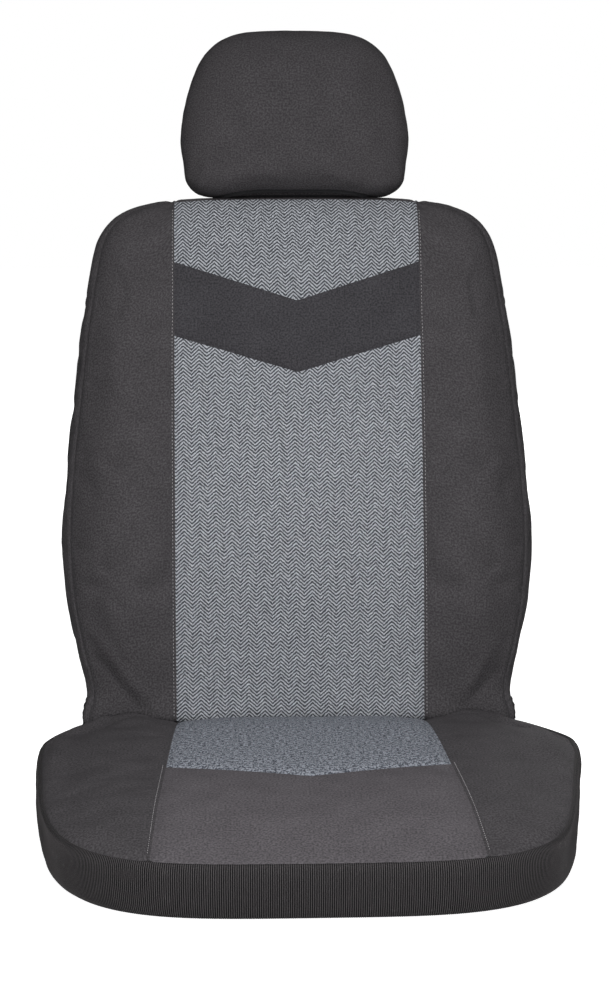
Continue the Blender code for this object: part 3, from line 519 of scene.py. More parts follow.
def herringbone():
    """Light and dark yarns in zigzag lines."""
    period, pitch, slope = HERRINGBONE
    made = Finish("herringbone_weave", 0.95, specular=0.15)
    shifted = made.plus(made.across, 10 * period + 0.0046)
    zig = made.math("PINGPONG", shifted, period / 2)
    jitter = made.scaled(made.noise(0.0028, 2.0), 0.0026, -0.0013)
    line = made.plus(made.scaled(zig, slope, made.along), jitter)
    stripe = made.between(made.wave(line, pitch), 0.22, 0.78)
    yarn = made.noise(0.0016, 2.0)
    patch = made.noise(0.0052, 2.0)
    speck = made.scaled(yarn, 1.1, 0.45)
    patchy = made.scaled(patch, 0.7, 0.65)
    colour = made.mix(stripe, tone(66, 68, 72), tone(163, 166, 172))
    factor = made.times(speck, patchy)
    relief = made.scaled(yarn, 0.5, stripe)
    return made.done(made.shaded(colour, factor), relief, 0.00035)


def plain_weave():
    """Blue-grey melange in a plain weave."""
    made = Finish("plain_weave", 0.95, specular=0.15)
    warp = made.wave(made.across, 0.0013)
    weft = made.wave(made.along, 0.0013)
    cell = made.math("ABSOLUTE", made.math("SUBTRACT", warp, weft))
    speck = made.noise(0.0017, 2.0, (1.0, 0.6, 1.0))
    long_speck = made.noise(0.0019, 2.0, (0.4, 1.0, 1.0))
    mixed = made.scaled(long_speck, 0.5, made.times(speck, 0.5))
    light = made.between(mixed, 0.43, 0.57)
    colour = made.mix(light, tone(68, 71, 79), tone(146, 150, 158))
    factor = made.scaled(cell, 0.16, 0.92)
    relief = made.plus(cell, made.times(speck, 0.8))
    return made.done(made.shaded(colour, factor), relief, 0.00018)


def ribbed():
    """Stretch knit whose ribs are in the mesh; its colour also paints their tops lighter and their valleys
    darker, as painted light and painted shade.
    """
    made = Finish("ribbed_knit", 1.0, specular=0.12)
    # mask of the rib tops, in step with the mesh's ribs: where the painted highlight goes
    top = made.between(made.wave(made.plus(made.across, RIB / 4), RIB), 0.25, 0.85)
    fuzz = made.noise(0.0013, 2.0)
    loop = made.wave(made.along, 0.0012)
    # the knit's own dark tone, painted darker in the rib valleys as painted shade and lighter on the rib
    # tops as painted highlight
    colour = made.mix(top, tone(22, 21, 22), tone(74, 72, 73))
    lint = made.between(made.noise(0.012, 4.0), 0.62, 0.75, 1.0, 1.35)
    factor = made.times(made.scaled(fuzz, 0.8, 0.6), lint)
    relief = made.scaled(loop, 0.5, fuzz)
    return made.done(made.shaded(colour, factor), relief, 0.00012)


def lining():
    """Pale tricot on the back of the foam."""
    made = Finish("foam_lining", 1.0, specular=0.1)
    mesh = made.times(made.wave(made.across, 0.0021), made.wave(made.along, 0.0021))
    fuzz = made.noise(0.003, 2.0)
    factor = made.scaled(fuzz, 0.3, made.scaled(mesh, -0.12, 0.9))
    return made.done(made.shaded(tone(92, 92, 94), factor), mesh, 0.00015)


def plain_cloth():
    """Thin plain-woven lining cloth, for the flap."""
    made = Finish("flap_cloth", 0.95, specular=0.15)
    weave = made.times(made.wave(made.across, 0.0016), made.wave(made.along, 0.0016))
    cloud = made.noise(0.02, 3.0)
    factor = made.times(made.scaled(weave, 0.25, 0.87), made.scaled(cloud, 0.3, 0.85))
    return made.done(made.shaded(tone(46, 46, 48), factor), weave, 0.0002)


def woven_band(name, shade, pitch, slope):
    """Woven tape: ribs across or a twill on the slant."""
    made = Finish(name, 0.8, specular=0.3)
    line = made.scaled(made.across, slope, made.along)
    rib = made.wave(line, pitch)
    edge = made.wave(made.across, 0.0012)
    fuzz = made.noise(0.0012, 2.0)
    height = made.scaled(edge, 0.3, rib)
    factor = made.times(made.scaled(rib, 0.45, 0.75), made.scaled(fuzz, 0.4, 0.8))
    return made.done(made.shaded(tone(*shade), factor), height, 0.0003)


def thread(name, shade):
    """Twisted sewing thread."""
    made = Finish(name, 0.7, specular=0.3)
    twist = made.wave(made.plus(made.along, made.across), 0.0008)
    factor = made.scaled(twist, 0.3, 0.85)
    return made.done(made.shaded(tone(*shade), factor), twist, 0.0001)


def plastic():
    """Moulded plastic with a fine spark-eroded grain."""
    made = Finish("buckle_plastic", 0.42, specular=0.5)
    spot = made.node("ShaderNodeTexCoord").outputs["Object"]
    grain = made.node("ShaderNodeTexNoise")
    made.feed(grain.inputs["Vector"], spot)
    grain.inputs["Scale"].default_value = 2600.0
    worn = made.node("ShaderNodeTexNoise")
    made.feed(worn.inputs["Vector"], spot)
    worn.inputs["Scale"].default_value = 160.0
    factor = made.scaled(worn.outputs["Fac"], 0.4, 0.8)
    made.feed(made.shader.inputs["Roughness"], made.scaled(worn.outputs["Fac"], 0.2, 0.34))
    return made.done(made.shaded(tone(27, 27, 29), factor), grain.outputs["Fac"], 0.00004)


FINISHES = {
    "knit": knit("dark_knit", (70, 68, 70)),
    "chevron": knit("chevron_knit", (63, 62, 65)),
    "front": knit("front_knit", (86, 83, 86)),
    "herringbone": herringbone(),
    "plain": plain_weave(),
    "rib": ribbed(),
    "lining": lining(),
    "flap": plain_cloth(),
    "elastic": woven_band("elastic_band", (38, 38, 40), 0.0016, 0.0),
    "webbing": woven_band("strap_webbing", (34, 34, 36), 0.0030, 0.9),
    "binding": woven_band("binding_tape", (42, 42, 44), 0.0012, 0.5),
    "light_thread": thread("light_thread", (165, 163, 165)),
    "dark_thread": thread("dark_thread", (58, 57, 59)),
    "plastic": plastic(),
}


# ---- Cloth --------------------------------------------------------------------------
def ripple(points, size, seed, waves=14):
    """Smooth irregular waves from -1 to 1 with this wavelength, the same for the same seed."""
    draw = np.random.default_rng(seed)
    total = 0.0
    for _ in range(waves):
        way = draw.normal(size=3)
        way *= 2 * math.pi / (np.linalg.norm(way) * size * draw.uniform(0.7, 1.5))
        total = total + np.sin(points @ way + draw.uniform(0, 2 * math.pi))
    return total / math.sqrt(waves)


def fold(x, y, start, end, width, depth):
    """A soft crease along a line in a panel's own plane."""
    run_x, run_y = end[0] - start[0], end[1] - start[1]
    length = math.hypot(run_x, run_y)
    along = ((x - start[0]) * run_x + (y - start[1]) * run_y) / length**2
    away = ((x - start[0]) * run_y - (y - start[1]) * run_x) / length
    ends = ease(along, -0.2, 0.3) * (1 - ease(along, 0.7, 1.2))
    return depth * np.exp(-((away / width) ** 2)) * ends


def outward(place, u, v, inside):
    """Unit normals of the surface place(u, v), away from a point inside the cover."""
    pull, step = 0.004, 0.001
    u, v = np.clip(u, pull, 1 - pull), np.clip(v, pull, 1 - pull)
    along = place(u + step, v) - place(u - step, v)
    across = place(u, v + step) - place(u, v - step)
    normal = unit(np.cross(along, across))
    return -normal if np.sum(normal * (place(u, v) - inside)) < 0 else normal


def stations(length, at_start, at_end, cell=CELL):
    """Places from 0 to 1 along a stretch, closer together at sewn ends."""
    even = np.linspace(0, 1, max(int(length / cell), 4) + 1)
    close = np.array([0.0007, 0.0016, 0.0026]) / length
    parts = [even] + [close] * at_start + [1 - close] * at_end
    return np.unique(np.concatenate(parts))


def arc(points, axis):
    """Distance along the grid's rows (axis 0) or columns (axis 1) from their first point."""
    steps = np.linalg.norm(np.diff(points, axis=axis), axis=-1)
    shape = list(points.shape[:2])
    shape[axis] = 1
    return np.concatenate([np.zeros(shape), np.cumsum(steps, axis=axis)], axis=axis)


def spline_weights(coarse, fine):
    """Catmull-Rom weights that read values at even coarse places from 0 to 1 at the fine ones."""
    weights = np.zeros((len(fine), coarse))
    place = np.clip(fine, 0, 1) * (coarse - 1)
    first = np.clip(place.astype(int), 0, coarse - 2)
    s = place - first
    parts = (
        (-1, (-(s**3) + 2 * s**2 - s) / 2),
        (0, (3 * s**3 - 5 * s**2 + 2) / 2),
        (1, (-3 * s**3 + 4 * s**2 + s) / 2),
        (2, (s**3 - s**2) / 2),
    )
    for shift, part in parts:
        column = np.clip(first + shift, 0, coarse - 1)
        np.add.at(weights, (np.arange(len(fine)), column), part)
    return weights


CLOTH = {
    "quality": 5, "mass": 0.3, "tension_stiffness": 12, "compression_stiffness": 12,
    "shear_stiffness": 6, "bending_stiffness": 1.2, "air_damping": 3, "use_pressure": True,
}
SETTLE_FRAMES = 20
SETTLE_CELL = 0.009                    # spacing of the simulated cloth's points
SETTLE_LIMITS = (-0.0012, 0.004)       # how far it may move in and out


def settle(place, inside, length, width, sewn, slack, push):
    """Simulates a panel as cloth sewn at its edges; returns how far it moved out, on a coarse grid."""
    rows = max(int(length / SETTLE_CELL), 6) + 1
    columns = max(int(width / SETTLE_CELL), 6) + 1
    u, v = np.meshgrid(np.linspace(0, 1, rows), np.linspace(0, 1, columns), indexing="ij")
    points = place(u, v)
    normals = outward(place, u, v, inside)
    thing = mesh_object("settling", points, None, inside)
    pins = np.zeros((rows, columns), bool)
    for side in sewn:
        pins[border(side)] = True
    group = thing.vertex_groups.new(name="sewn")
    group.add([int(i) for i in np.flatnonzero(pins.ravel())], 1.0, "REPLACE")
    cloth = thing.modifiers.new("cloth", "CLOTH")
    settings = cloth.settings
    for key, value in CLOTH.items():
        setattr(settings, key, value)
    settings.vertex_group_mass = "sewn"
    settings.shrink_min = -slack
    settings.shrink_max = -slack
    settings.uniform_pressure_force = push
    settings.effector_weights.gravity = 0.0
    cloth.point_cache.frame_start = 1
    cloth.point_cache.frame_end = SETTLE_FRAMES
    for step in range(1, SETTLE_FRAMES + 1):
        bpy.context.scene.frame_set(step)
    shown = thing.evaluated_get(bpy.context.evaluated_depsgraph_get()).to_mesh()
    moved = np.zeros(rows * columns * 3, np.float32)
    shown.vertices.foreach_get("co", moved)
    bpy.data.objects.remove(thing, do_unlink=True)
    bpy.context.scene.frame_set(1)
    rise = np.sum((moved.reshape(rows, columns, 3) - points) * normals, axis=-1)
    return np.clip(rise, *SETTLE_LIMITS)


def border(side):
    """Index of one side of a grid: s and n are its first and last rows, w and e its columns."""
    line = 0 if side in "sw" else -1
    return (line, slice(None)) if side in "sn" else (slice(None), line)


def new_object(name, data):
    """An object with this mesh, camera or light, in the scene."""
    made = bpy.data.objects.new(name, data)
    bpy.context.scene.collection.objects.link(made)
    return made


def smooth_mesh(name, points, faces, uv):
    """A smooth mesh whose points each have one place in the weave."""
    mesh = bpy.data.meshes.new(name)
    mesh.from_pydata(points.reshape(-1, 3).tolist(), [], faces)
    if uv is not None:
        corner = np.zeros(len(mesh.loops), np.int32)
        mesh.loops.foreach_get("vertex_index", corner)
        places = uv.reshape(-1, 2)[corner].astype(np.float32)
        mesh.uv_layers.new(name="weave").data.foreach_set("uv", places.ravel())
    mesh.shade_smooth()
    return mesh


def tube_faces(index):
    """Faces of a tube, from an index with one row of points for each of its rings."""
    beside = np.roll(index, -1, axis=1)
    return np.stack([index[:-1], beside[:-1], beside[1:], index[1:]], -1).reshape(-1, 4)


def mesh_object(name, points, uv, inside):
    """A smooth sheet through a grid of points, its faces looking away from inside."""
    rows, columns = points.shape[:2]
    index = np.arange(rows * columns).reshape(rows, columns)
    faces = np.stack([index[:-1, :-1], index[:-1, 1:], index[1:, 1:], index[1:, :-1]], -1).reshape(-1, 4)
    corners = points.reshape(-1, 3)[faces]
    normal = np.cross(corners[:, 2] - corners[:, 0], corners[:, 3] - corners[:, 1])
    if np.sum(normal * (corners.mean(1) - inside)) < 0:
        faces = faces[:, ::-1]
    return new_object(name, smooth_mesh(name, points, faces.tolist(), uv))


def lined(thing, finish, thickness):
    """Gives an open sheet its finish, its thickness and the lining on its inside."""
    thing.data.materials.append(FINISHES[finish])
    thing.data.materials.append(FINISHES["lining"])
    shell = thing.modifiers.new("thickness", "SOLIDIFY")
    shell.thickness = thickness
    shell.offset = -1.0
    shell.material_offset = 1


def attach(thing, body, slot, node=None):
    """Fixes a piece to its body and hides the CAD node that it stands for; the slot is not used."""
    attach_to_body(thing, body)
    if node:
        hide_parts(node)


def tail(points, normals, uv, side, rounding, turn, straight):
    """Adds rows that carry one side of a grid round and inwards."""
    axis, first = (0 if side in "sn" else 1), side in "sw"

    def line(grid, number):
        return np.take(grid, number if first else -1 - number, axis=axis)

    edge, normal, edge_uv = line(points, 0), line(normals, 0), line(uv, 0)
    way = edge - line(points, 1)
    way = unit(way - normal * np.sum(way * normal, axis=-1, keepdims=True))
    way_uv = unit(edge_uv - line(uv, 1))
    steps = max(3, int(rounding * turn / 0.0025))
    rows, faces, rows_uv = [], [], []
    for k in range(1, steps + 1):
        angle = turn * k / steps
        rows.append(edge + way * rounding * math.sin(angle) - normal * rounding * (1 - math.cos(angle)))
        faces.append(normal * math.cos(angle) + way * math.sin(angle))
        rows_uv.append(edge_uv + way_uv * rounding * angle)
    rows.append(rows[-1] + (way * math.cos(turn) - normal * math.sin(turn)) * straight)
    faces.append(faces[-1])
    rows_uv.append(rows_uv[-1] + way_uv * straight)
    grown = []
    for grid, added in ((points, rows), (normals, faces), (uv, rows_uv)):
        added = np.stack(added[::-1] if first else added, axis)
        grown.append(np.concatenate([added, grid] if first else [grid, added], axis))
    return grown


SEWN_TAIL = (EDGE_ROUND, math.pi / 2, ALLOWANCE)
GROOVE = 0.0016                        # depth of the cloth's dip at a seam
PUCKER = 0.00016                       # height of the small waves along it


def panel(node, body, place, sewn, slot="dark_knit", finish="knit", inside=None, relief=None,
          tails=None, uv_of=None, slack=0.006, push=0.0, share=1.0, cell=CELL, cut=None):
    """A sewn cover panel that stands for a CAD node; returns its outer grid for the stitching.

    sewn names the sides with a seam, tails gives the other sides' own edges, relief adds folds
    to the surface, and slack, push and share steer the cloth simulation.
    """
    name = node + "_cloth"
    core, to_world = COVERS[body]
    inside = core if inside is None else inside
    rough = place(*np.meshgrid(np.linspace(0, 1, 17), np.linspace(0, 1, 17), indexing="ij"))
    length, width = arc(rough, 0)[-1].max(), arc(rough, 1)[:, -1].max()
    us = stations(length, "s" in sewn, "n" in sewn, cell)
    vs = stations(width, "w" in sewn, "e" in sewn, cell)
    u, v = np.meshgrid(us, vs, indexing="ij")
    points = place(u, v)
    normals = outward(place, u, v, inside)
    along, across = arc(points, 0), arc(points, 1)
    reach = {"s": along, "n": along[-1:] - along, "w": across, "e": across[:, -1:] - across}
    near = np.full(u.shape, 1.0)
    for side in sewn:
        near = np.minimum(near, reach[side])
    rise = 0.00022 * ripple(points, 0.045, len(name)) + 0.00012 * ripple(points, 0.016, len(name) + 7)
    if slack:
        moved = settle(place, inside, length, width, sewn, slack, push) * share
        rise = rise + spline_weights(moved.shape[0], us) @ moved @ spline_weights(moved.shape[1], vs).T
    rise = rise * ease(near, 0.0, 0.012) - GROOVE * np.exp(-((near / 0.0032) ** 2))
    if relief:
        rise = rise + relief(points) * ease(near, 0.0, 0.006)
    for side in sewn:
        walk = across if side in "sn" else along
        pucker = np.sin(2 * math.pi * walk / 0.0095 + 2.2 * np.sin(2 * math.pi * walk / 0.061 + len(name)))
        rise = rise + PUCKER * pucker * np.exp(-reach[side] / 0.006) * ease(reach[side], 0.0, 0.002)
    points = points + normals * rise[..., None]
    uv = uv_of(points, along) if uv_of else np.stack([across - across[:, -1:] / 2, along], -1)
    outer = {"points": to_world(points), "normals": turned(to_world, points, normals), "reach": reach}
    edges = dict.fromkeys(sewn, SEWN_TAIL) | (tails or {})
    for side in "snwe":
        if side in edges:
            points, normals, uv = tail(points, normals, uv, side, *edges[side])
    thing = mesh_object(name, to_world(points), uv, to_world(inside))
    lined(thing, finish, FABRIC)
    if cut:
        cut(thing)
    attach(thing, body, slot, node)
    flat = (arc(points, 1)[:, -1].max(), arc(points, 0)[-1].max())
    area_of(points, flat[0] * flat[1])
    return outer


def area_of(points, most):
    """Area of a grid's sheet, for the size that the cloth was cut to."""
    one = np.cross(points[1:, 1:] - points[:-1, :-1], points[1:, :-1] - points[:-1, 1:])
    return min(float(np.linalg.norm(one, axis=-1).sum() / 2), most)


# ---- Stitching ----------------------------------------------------------------------
def seam_line(outer, side, distance):
    """The line on a panel that runs at a distance from one of its sides, and its normals."""
    reach, points, normals = outer["reach"][side], outer["points"], outer["normals"]
    line, ways = [], []
    for far, place, way in zip(reach, points, normals):
        if far.max() >= 5 * distance:
            order = np.argsort(far)
            line.append([np.interp(distance, far[order], place[order, k]) for k in range(3)])
            ways.append([np.interp(distance, far[order], way[order, k]) for k in range(3)])
        elif line:
            break
    return np.array(line), np.array(ways)


STITCH = 0.0040                        # pitch of the stitches
THREAD = 0.00036                       # radius of the thread
STITCH_SHARE = 0.60                    # of the pitch, that shows
STITCH_RINGS, STITCH_SIDES = 5, 6


def stitch_shape():
    """Points of one stitch, along it and round it: a rounded thread that dips in at both ends."""
    points = []
    for place in np.linspace(-1, 1, STITCH_RINGS):
        size = math.sqrt(max(1 - place**2, 0.02))
        for angle in np.linspace(0, 2 * math.pi, STITCH_SIDES, endpoint=False):
            points.append((place, size * math.cos(angle), size * math.sin(angle) + 0.5 * size - 0.35))
    return np.array(points)


def stitches(name, finish, body, lines):
    """Rows of stitches along seam lines."""
    shape = stitch_shape()
    index = np.arange(len(shape)).reshape(STITCH_RINGS, STITCH_SIDES)
    one = tube_faces(index).tolist() + [index[0][::-1].tolist(), index[-1].tolist()]
    points, faces = [], []
    for line, ways in lines:
        walked = walk_along(line)
        middles = np.arange(STITCH, walked[-1] - STITCH, STITCH)
        centre = read_along(middles, walked, line)
        up = unit(read_along(middles, walked, ways))
        ahead = unit(read_along(middles + STITCH / 3, walked, line) - centre)
        aside = np.cross(ahead, up)
        made = centre[:, None] + ahead[:, None] * shape[None, :, :1] * STITCH * STITCH_SHARE / 2
        round_it = aside[:, None] * shape[None, :, 1:2] + up[:, None] * shape[None, :, 2:]
        points.append(made + round_it * THREAD)
    points = np.concatenate(points)
    for start in range(0, len(points) * len(shape), len(shape)):
        faces += [[corner + start for corner in face] for face in one]
    thing = new_object(name, smooth_mesh(name, points, faces, points[..., [0, 2]]))
    thing.data.materials.append(FINISHES[finish])
    attach(thing, body, "dark_knit")


# ---- Bands --------------------------------------------------------------------------
def rounded_section(width, thickness, corners=3):
    """Points round a flat rounded section, across and through."""
    radius = thickness / 2
    points = []
    for centre, start in ((width / 2 - radius, -90), (-width / 2 + radius, 90)):
        for k in range(corners + 1):
            angle = math.radians(start + 180 * k / corners)
            points.append((centre + radius * math.cos(angle), radius * math.sin(angle)))
    middles = np.linspace(1, -1, 5)[1:-1] * (width / 2 - radius)
    upper = [(place, radius) for place in middles]
    lower = [(-place, -radius) for place in middles]
    return np.array(points[: corners + 1] + upper + points[corners + 1:] + lower)


def resample(path, ways, step):
    """A smooth path with even points, the directions carried along it, and the distances."""
    walked = walk_along(path)
    at = np.linspace(0, walked[-1], max(int(walked[-1] / step), 4) + 1)
    curve = [read(at) for read in smooth_path(walked, path)]
    return np.stack(curve, -1), [unit(read_along(at, walked, way)) for way in ways], at


def band(name, path, width_way, thick_way, size, finish, body, slot, node, closed=False, ruffle=0.0):
    """A woven band with rounded edges along a path; ruffle waves it, as gathered elastic does."""
    if closed:
        parts = (path, width_way, thick_way)
        path, width_way, thick_way = (np.concatenate([part, part[:1]]) for part in parts)
    path, (wide, thick), at = resample(path, (width_way, thick_way), 0.0025)
    shape = rounded_section(*size)
    edge = np.abs(shape[:, 0]) / shape[:, 0].max()
    wave = ruffle * np.sin(2 * math.pi * at / 0.0098 + 1.3 * np.sin(2 * math.pi * at / 0.07))
    through = shape[None, :, 1] + wave[:, None] * (0.4 + 0.6 * edge[None])
    points = path[:, None] + wide[:, None] * shape[None, :, :1] + thick[:, None] * through[..., None]
    uv = np.stack(np.broadcast_arrays(walk_along(shape)[None], at[:, None]), -1)
    index = np.arange(points.shape[0] * points.shape[1]).reshape(points.shape[:2])
    if closed:
        index[-1] = index[0]
    faces = tube_faces(index).tolist()
    if not closed:
        faces += [index[0][::-1].tolist(), index[-1].tolist()]
    mesh = smooth_mesh(name, points, faces, uv)
    outwards(mesh)
    thing = new_object(name, mesh)
    mesh.materials.append(FINISHES[finish])
    attach(thing, body, slot, node)
    return thing


def outwards(mesh):
    """Turns a closed mesh's faces out, and drops points that no face uses."""
    work = bmesh.new()
    work.from_mesh(mesh)
    loose = [point for point in work.verts if not point.link_faces]
    bmesh.ops.delete(work, geom=loose, context="VERTS")
    bmesh.ops.recalc_face_normals(work, faces=work.faces)
    work.to_mesh(mesh)
    work.free()


# ---- Backrest -----------------------------------------------------------------------
FOOT_TAIL = (FOOT_ROLL, math.radians(110), 0.004)
HEM_TAIL = (0.0012, math.pi / 2, 0.006)


def edge_v(edge, x, half=INSERT_HALF):
    """Place of a V-shaped edge that is given at the sides and at the middle."""
    return edge[1] + (edge[0] - edge[1]) * np.abs(x) / half


def top_height(x, share):
    """Height of the rounded top at this share of the way to the outline."""
    up = (share**OUTLINE_POWER - (np.abs(x) / TOP_HALF) ** OUTLINE_POWER) ** (1 / OUTLINE_POWER)
    return BACK_TALL - BACK_CORNER + BACK_CORNER * up


def insert_top(x):
    """Height of the top seam above the insert."""
    return top_height(x, BACK_SEAM - SEAM_SHARE)


def back_uv(points, along):
    """The weave runs on from panel to panel: across by x, along by height."""
    return points[..., [0, 2]]


def back_inserts():
    """The three centre panels, split by the V-shaped band."""
    half = INSERT_HALF - SEAM_GAP
    gap = 1.1 * SEAM_GAP               # across the slanting seams

    def edge(ends, away):
        return lambda x: edge_v(ends, x) + away

    def foot(x):
        return 0 * x + BACK_FOOT

    runs = (
        ("back_lower_insert", "herringbone", "herringbone", foot, edge(CHEVRON_FOOT, -gap)),
        ("back_chevron_band", "dark_knit", "chevron", edge(CHEVRON_FOOT, gap), edge(CHEVRON_TOP, -gap)),
        ("back_upper_insert", "herringbone", "herringbone", edge(CHEVRON_TOP, gap), insert_top),
    )
    for node, slot, finish, low, high in runs:

        def place(u, v, low=low, high=high):
            x = (2 * v - 1) * half
            return back_face(x, low(x) + (high(x) - low(x)) * u)

        lowest = node == "back_lower_insert"
        panel(
            node, "backrest_cover", place, "new" if lowest else "nesw", slot, finish,
            tails={"s": FOOT_TAIL} if lowest else None, uv_of=back_uv, slack=0.004, push=0.3, share=0.6,
        )


def folds(x, height, creases):
    """Several creases at once, each with its start, end, width and depth."""
    return sum(fold(x, height, *crease) for crease in creases)


WAIST_FOLDS = (
    ((-0.232, 0.100), (-0.165, 0.016), 0.0065, 0.0022),
    ((-0.236, 0.078), (-0.175, 0.008), 0.0060, -0.0020),
    ((-0.222, 0.145), (-0.185, 0.060), 0.0085, 0.0014),
    ((0.226, 0.092), (0.178, 0.024), 0.0070, 0.0018),
    ((0.232, 0.060), (0.185, 0.014), 0.0060, -0.0018),
)


def waist_folds(points):
    """Soft folds where the bolsters narrow above the cushion."""
    return folds(points[..., 0], points[..., 2], WAIST_FOLDS)


def ease_end(u):
    """Keeps rows level on the straight part, and draws them together at the top."""
    return u + 0.10 * np.sin(math.pi * u) ** 2


def back_bolster(side, sign):
    """Front side panel, from the insert's seam out to the rim and up to a point at the top."""
    turn = seam_turn(BACK_SEAM - SEAM_SHARE, SIDE_POWER)
    end = rim_at_insert(turn) - 0.0005
    inner_top = insert_top(np.array(INSERT_HALF))

    def place(u, v):
        outer = back_rim(u * end, turn, SIDE_FOOT)
        inner_x = INSERT_HALF + SEAM_GAP
        inner_height = BACK_FOOT + (inner_top - BACK_FOOT) * ease_end(u)
        x = inner_x + (np.maximum(outer[..., 0], inner_x) - inner_x) * v
        height = inner_height + (outer[..., 2] - inner_height) * v
        return back_face(x, height) * [sign, 1, 1]

    return panel(
        f"back_bolster_{side}", "backrest_cover", place, "new", inside=BACK_CORE + [0.15 * sign, 0, 0],
        relief=waist_folds, tails={"s": FOOT_TAIL}, slack=0.007, push=0.6,
    )


def side_foot(turn):
    """Height of the cover's lower edge, from the front seam round to the rear one."""
    front = seam_turn(BACK_SEAM, SIDE_POWER)
    return SIDE_FOOT + (REAR_FOOT - SIDE_FOOT) * np.clip((front - turn) / (2 * front), 0.0, 1.0)


def back_side(side, sign):
    """Side gusset, from the front seam round the edge to the rear seam."""
    front = seam_turn(BACK_SEAM + SEAM_SHARE, SIDE_POWER)
    end = rim_at_insert(front) - 0.002

    def place(u, v):
        turn = front - 2 * front * v
        return back_rim(u * end, turn, side_foot(turn)) * [sign, 1, 1]

    return panel(
        f"back_side_{side}", "backrest_cover", place, "new", inside=BACK_CORE + [0.05 * sign, 0, 0],
        tails={"s": HEM_TAIL}, push=0.3,
    )


def post_slot(sign, inset, count):
    """Oval outline of one opening for a headrest's post."""
    theta = np.linspace(0, 2 * math.pi, count, endpoint=False)
    across, deep = SLOT[0] / 2 - inset, SLOT[1] / 2 - inset
    oval = np.stack([across * np.cos(theta), deep * np.sin(theta), 0 * theta], -1)
    return oval + [sign * POST_SPACING / 2, float(back_middle(BACK_TALL)), BACK_TALL - SLOT_DROP]


def slot_cuts(thing):
    """Cuts the two openings for the headrest's posts through the cloth."""
    count, cutters = 48, []
    faces = [[k, (k + 1) % count, count + (k + 1) % count, count + k] for k in range(count)]
    faces += [list(range(count))[::-1], list(range(count, 2 * count))]
    for side, sign in SIDES:
        outline = post_slot(sign, 0.0, count)
        rings = [lean(outline + level * UP) for level in (-0.02, 0.02)]
        mesh = bpy.data.meshes.new("slot_cutter")
        mesh.from_pydata(np.concatenate(rings).tolist(), [], faces)
        cutters.append(new_object(f"slot_cutter_{side}", mesh))
        cutting = thing.modifiers.new("slot", "BOOLEAN")
        cutting.operation = "DIFFERENCE"
        cutting.object = cutters[-1]
    bpy.context.view_layer.update()
    shown = thing.evaluated_get(bpy.context.evaluated_depsgraph_get())
    cut = bpy.data.meshes.new_from_object(shown)
    thing.modifiers.clear()
    thing.data = cut
    cut.shade_smooth()
    for cutter in cutters:
        bpy.data.objects.remove(cutter, do_unlink=True)


def back_top():
    """Top gusset with the openings for the headrest's posts."""
    front = seam_turn(BACK_SEAM + SEAM_SHARE, SIDE_POWER)
    half = INSERT_HALF - 2 * SEAM_GAP

    def place(u, v):
        share, depth = section(front - 2 * front * v, SIDE_POWER)
        x = (2 * u - 1) * half
        height = top_height(x, share)
        return np.stack([x, back_depth(x, height, depth), height], -1)

    panel("back_top_gusset", "backrest_cover", place, "nesw", slack=0.003, share=0.5, cut=slot_cuts)


def slot_bindings():
    """Bound edges of the two post openings."""
    for side, sign in SIDES:
        outline = post_slot(sign, BINDING_INSET, 40)
        path = lean(outline)
        band(
            f"post_slot_binding_{side}_tape", path, turned(lean, outline, UP), path - path.mean(0), BINDING,
            "binding", "backrest_cover", "binding", f"post_slot_binding_{side}", closed=True,
        )


def back_rear():
    """Rear panel inside the rear seam."""
    share = section(np.array(-seam_turn(BACK_SEAM - REAR_GAP, SIDE_POWER)), SIDE_POWER)[0]
    straight = BACK_TALL - BACK_CORNER
    split = 0.80                       # share of the rows below the rounded top

    def place(u, v):
        side = 2 * v - 1
        low = np.clip(u / split, 0, 1)
        up = np.clip((u - split) / (1 - split), 0, 1)
        largest = np.maximum(np.abs(side), up)
        scale = share * largest / np.maximum(outline_share(side, up, OUTLINE_POWER), 1e-9)
        height = REAR_FOOT + (straight - REAR_FOOT) * low + BACK_CORNER * up * scale
        return back_face(side * scale * back_half_width(height), height, front=False)

    return panel(
        "back_rear_panel", "backrest_cover", place, "new", tails={"s": HEM_TAIL}, slack=0.008, push=0.8,
        cell=0.0045,
    )


def rim_level(turn, height):
    """Point of the backrest's section at one height."""
    share, depth = section(turn, SIDE_POWER)
    x = share * back_half_width(height)
    return np.array([x, back_depth(x, height, depth), height])


def back_elastic():
    """Elastic binding along the open lower edge, under the side gussets and the rear panel."""
    front = seam_turn(BACK_SEAM, SIDE_POWER)
    round_side = front * np.linspace(1, -1, 61)[4:]
    across_rear = np.linspace(-front, -math.pi / 2, 40)[1:]
    turns = np.concatenate([round_side, across_rear])
    turns[-1] = -math.pi / 2 + 1e-4
    below = EDGE_GAP + ELASTIC[0] / 2
    path = mirrored(np.array([rim_level(turn, side_foot(turn) - below) for turn in turns]))
    out = unit(np.cross(np.gradient(path, axis=0), UP))
    middle = np.array([0.0, BACK_CORE[1], 0.03])
    out = np.where(np.sum(out * (path - middle), axis=1, keepdims=True) < 0, -out, out)
    path = path - out * FABRIC / 2
    band(
        "back_hem_elastic_band", lean(path), turned(lean, path, UP), turned(lean, path, out), ELASTIC,
        "elastic", "backrest_cover", "elastic_band", "back_hem_elastic", ruffle=0.0006,
    )


# ---- Headrest -----------------------------------------------------------------------
def head_mouth(up):
    """1 along the opening underneath, 0 at the sides and the top."""
    return ease(-up, 0.90, 0.995)


HEAD_FOLDS = (
    ((-0.112, 0.002), (-0.098, 0.038), 0.0040, 0.0016),
    ((-0.098, 0.000), (-0.082, 0.030), 0.0036, -0.0013),
    ((-0.120, 0.012), (-0.108, 0.050), 0.0042, -0.0012),
    ((0.104, 0.000), (0.094, 0.030), 0.0042, 0.0012),
    ((0.116, 0.008), (0.108, 0.044), 0.0042, -0.0011),
)


def head_folds(points):
    """Small puckers at the lower corners, where the elastic draws the cloth under."""
    return folds(points[..., 0], points[..., 2], HEAD_FOLDS)


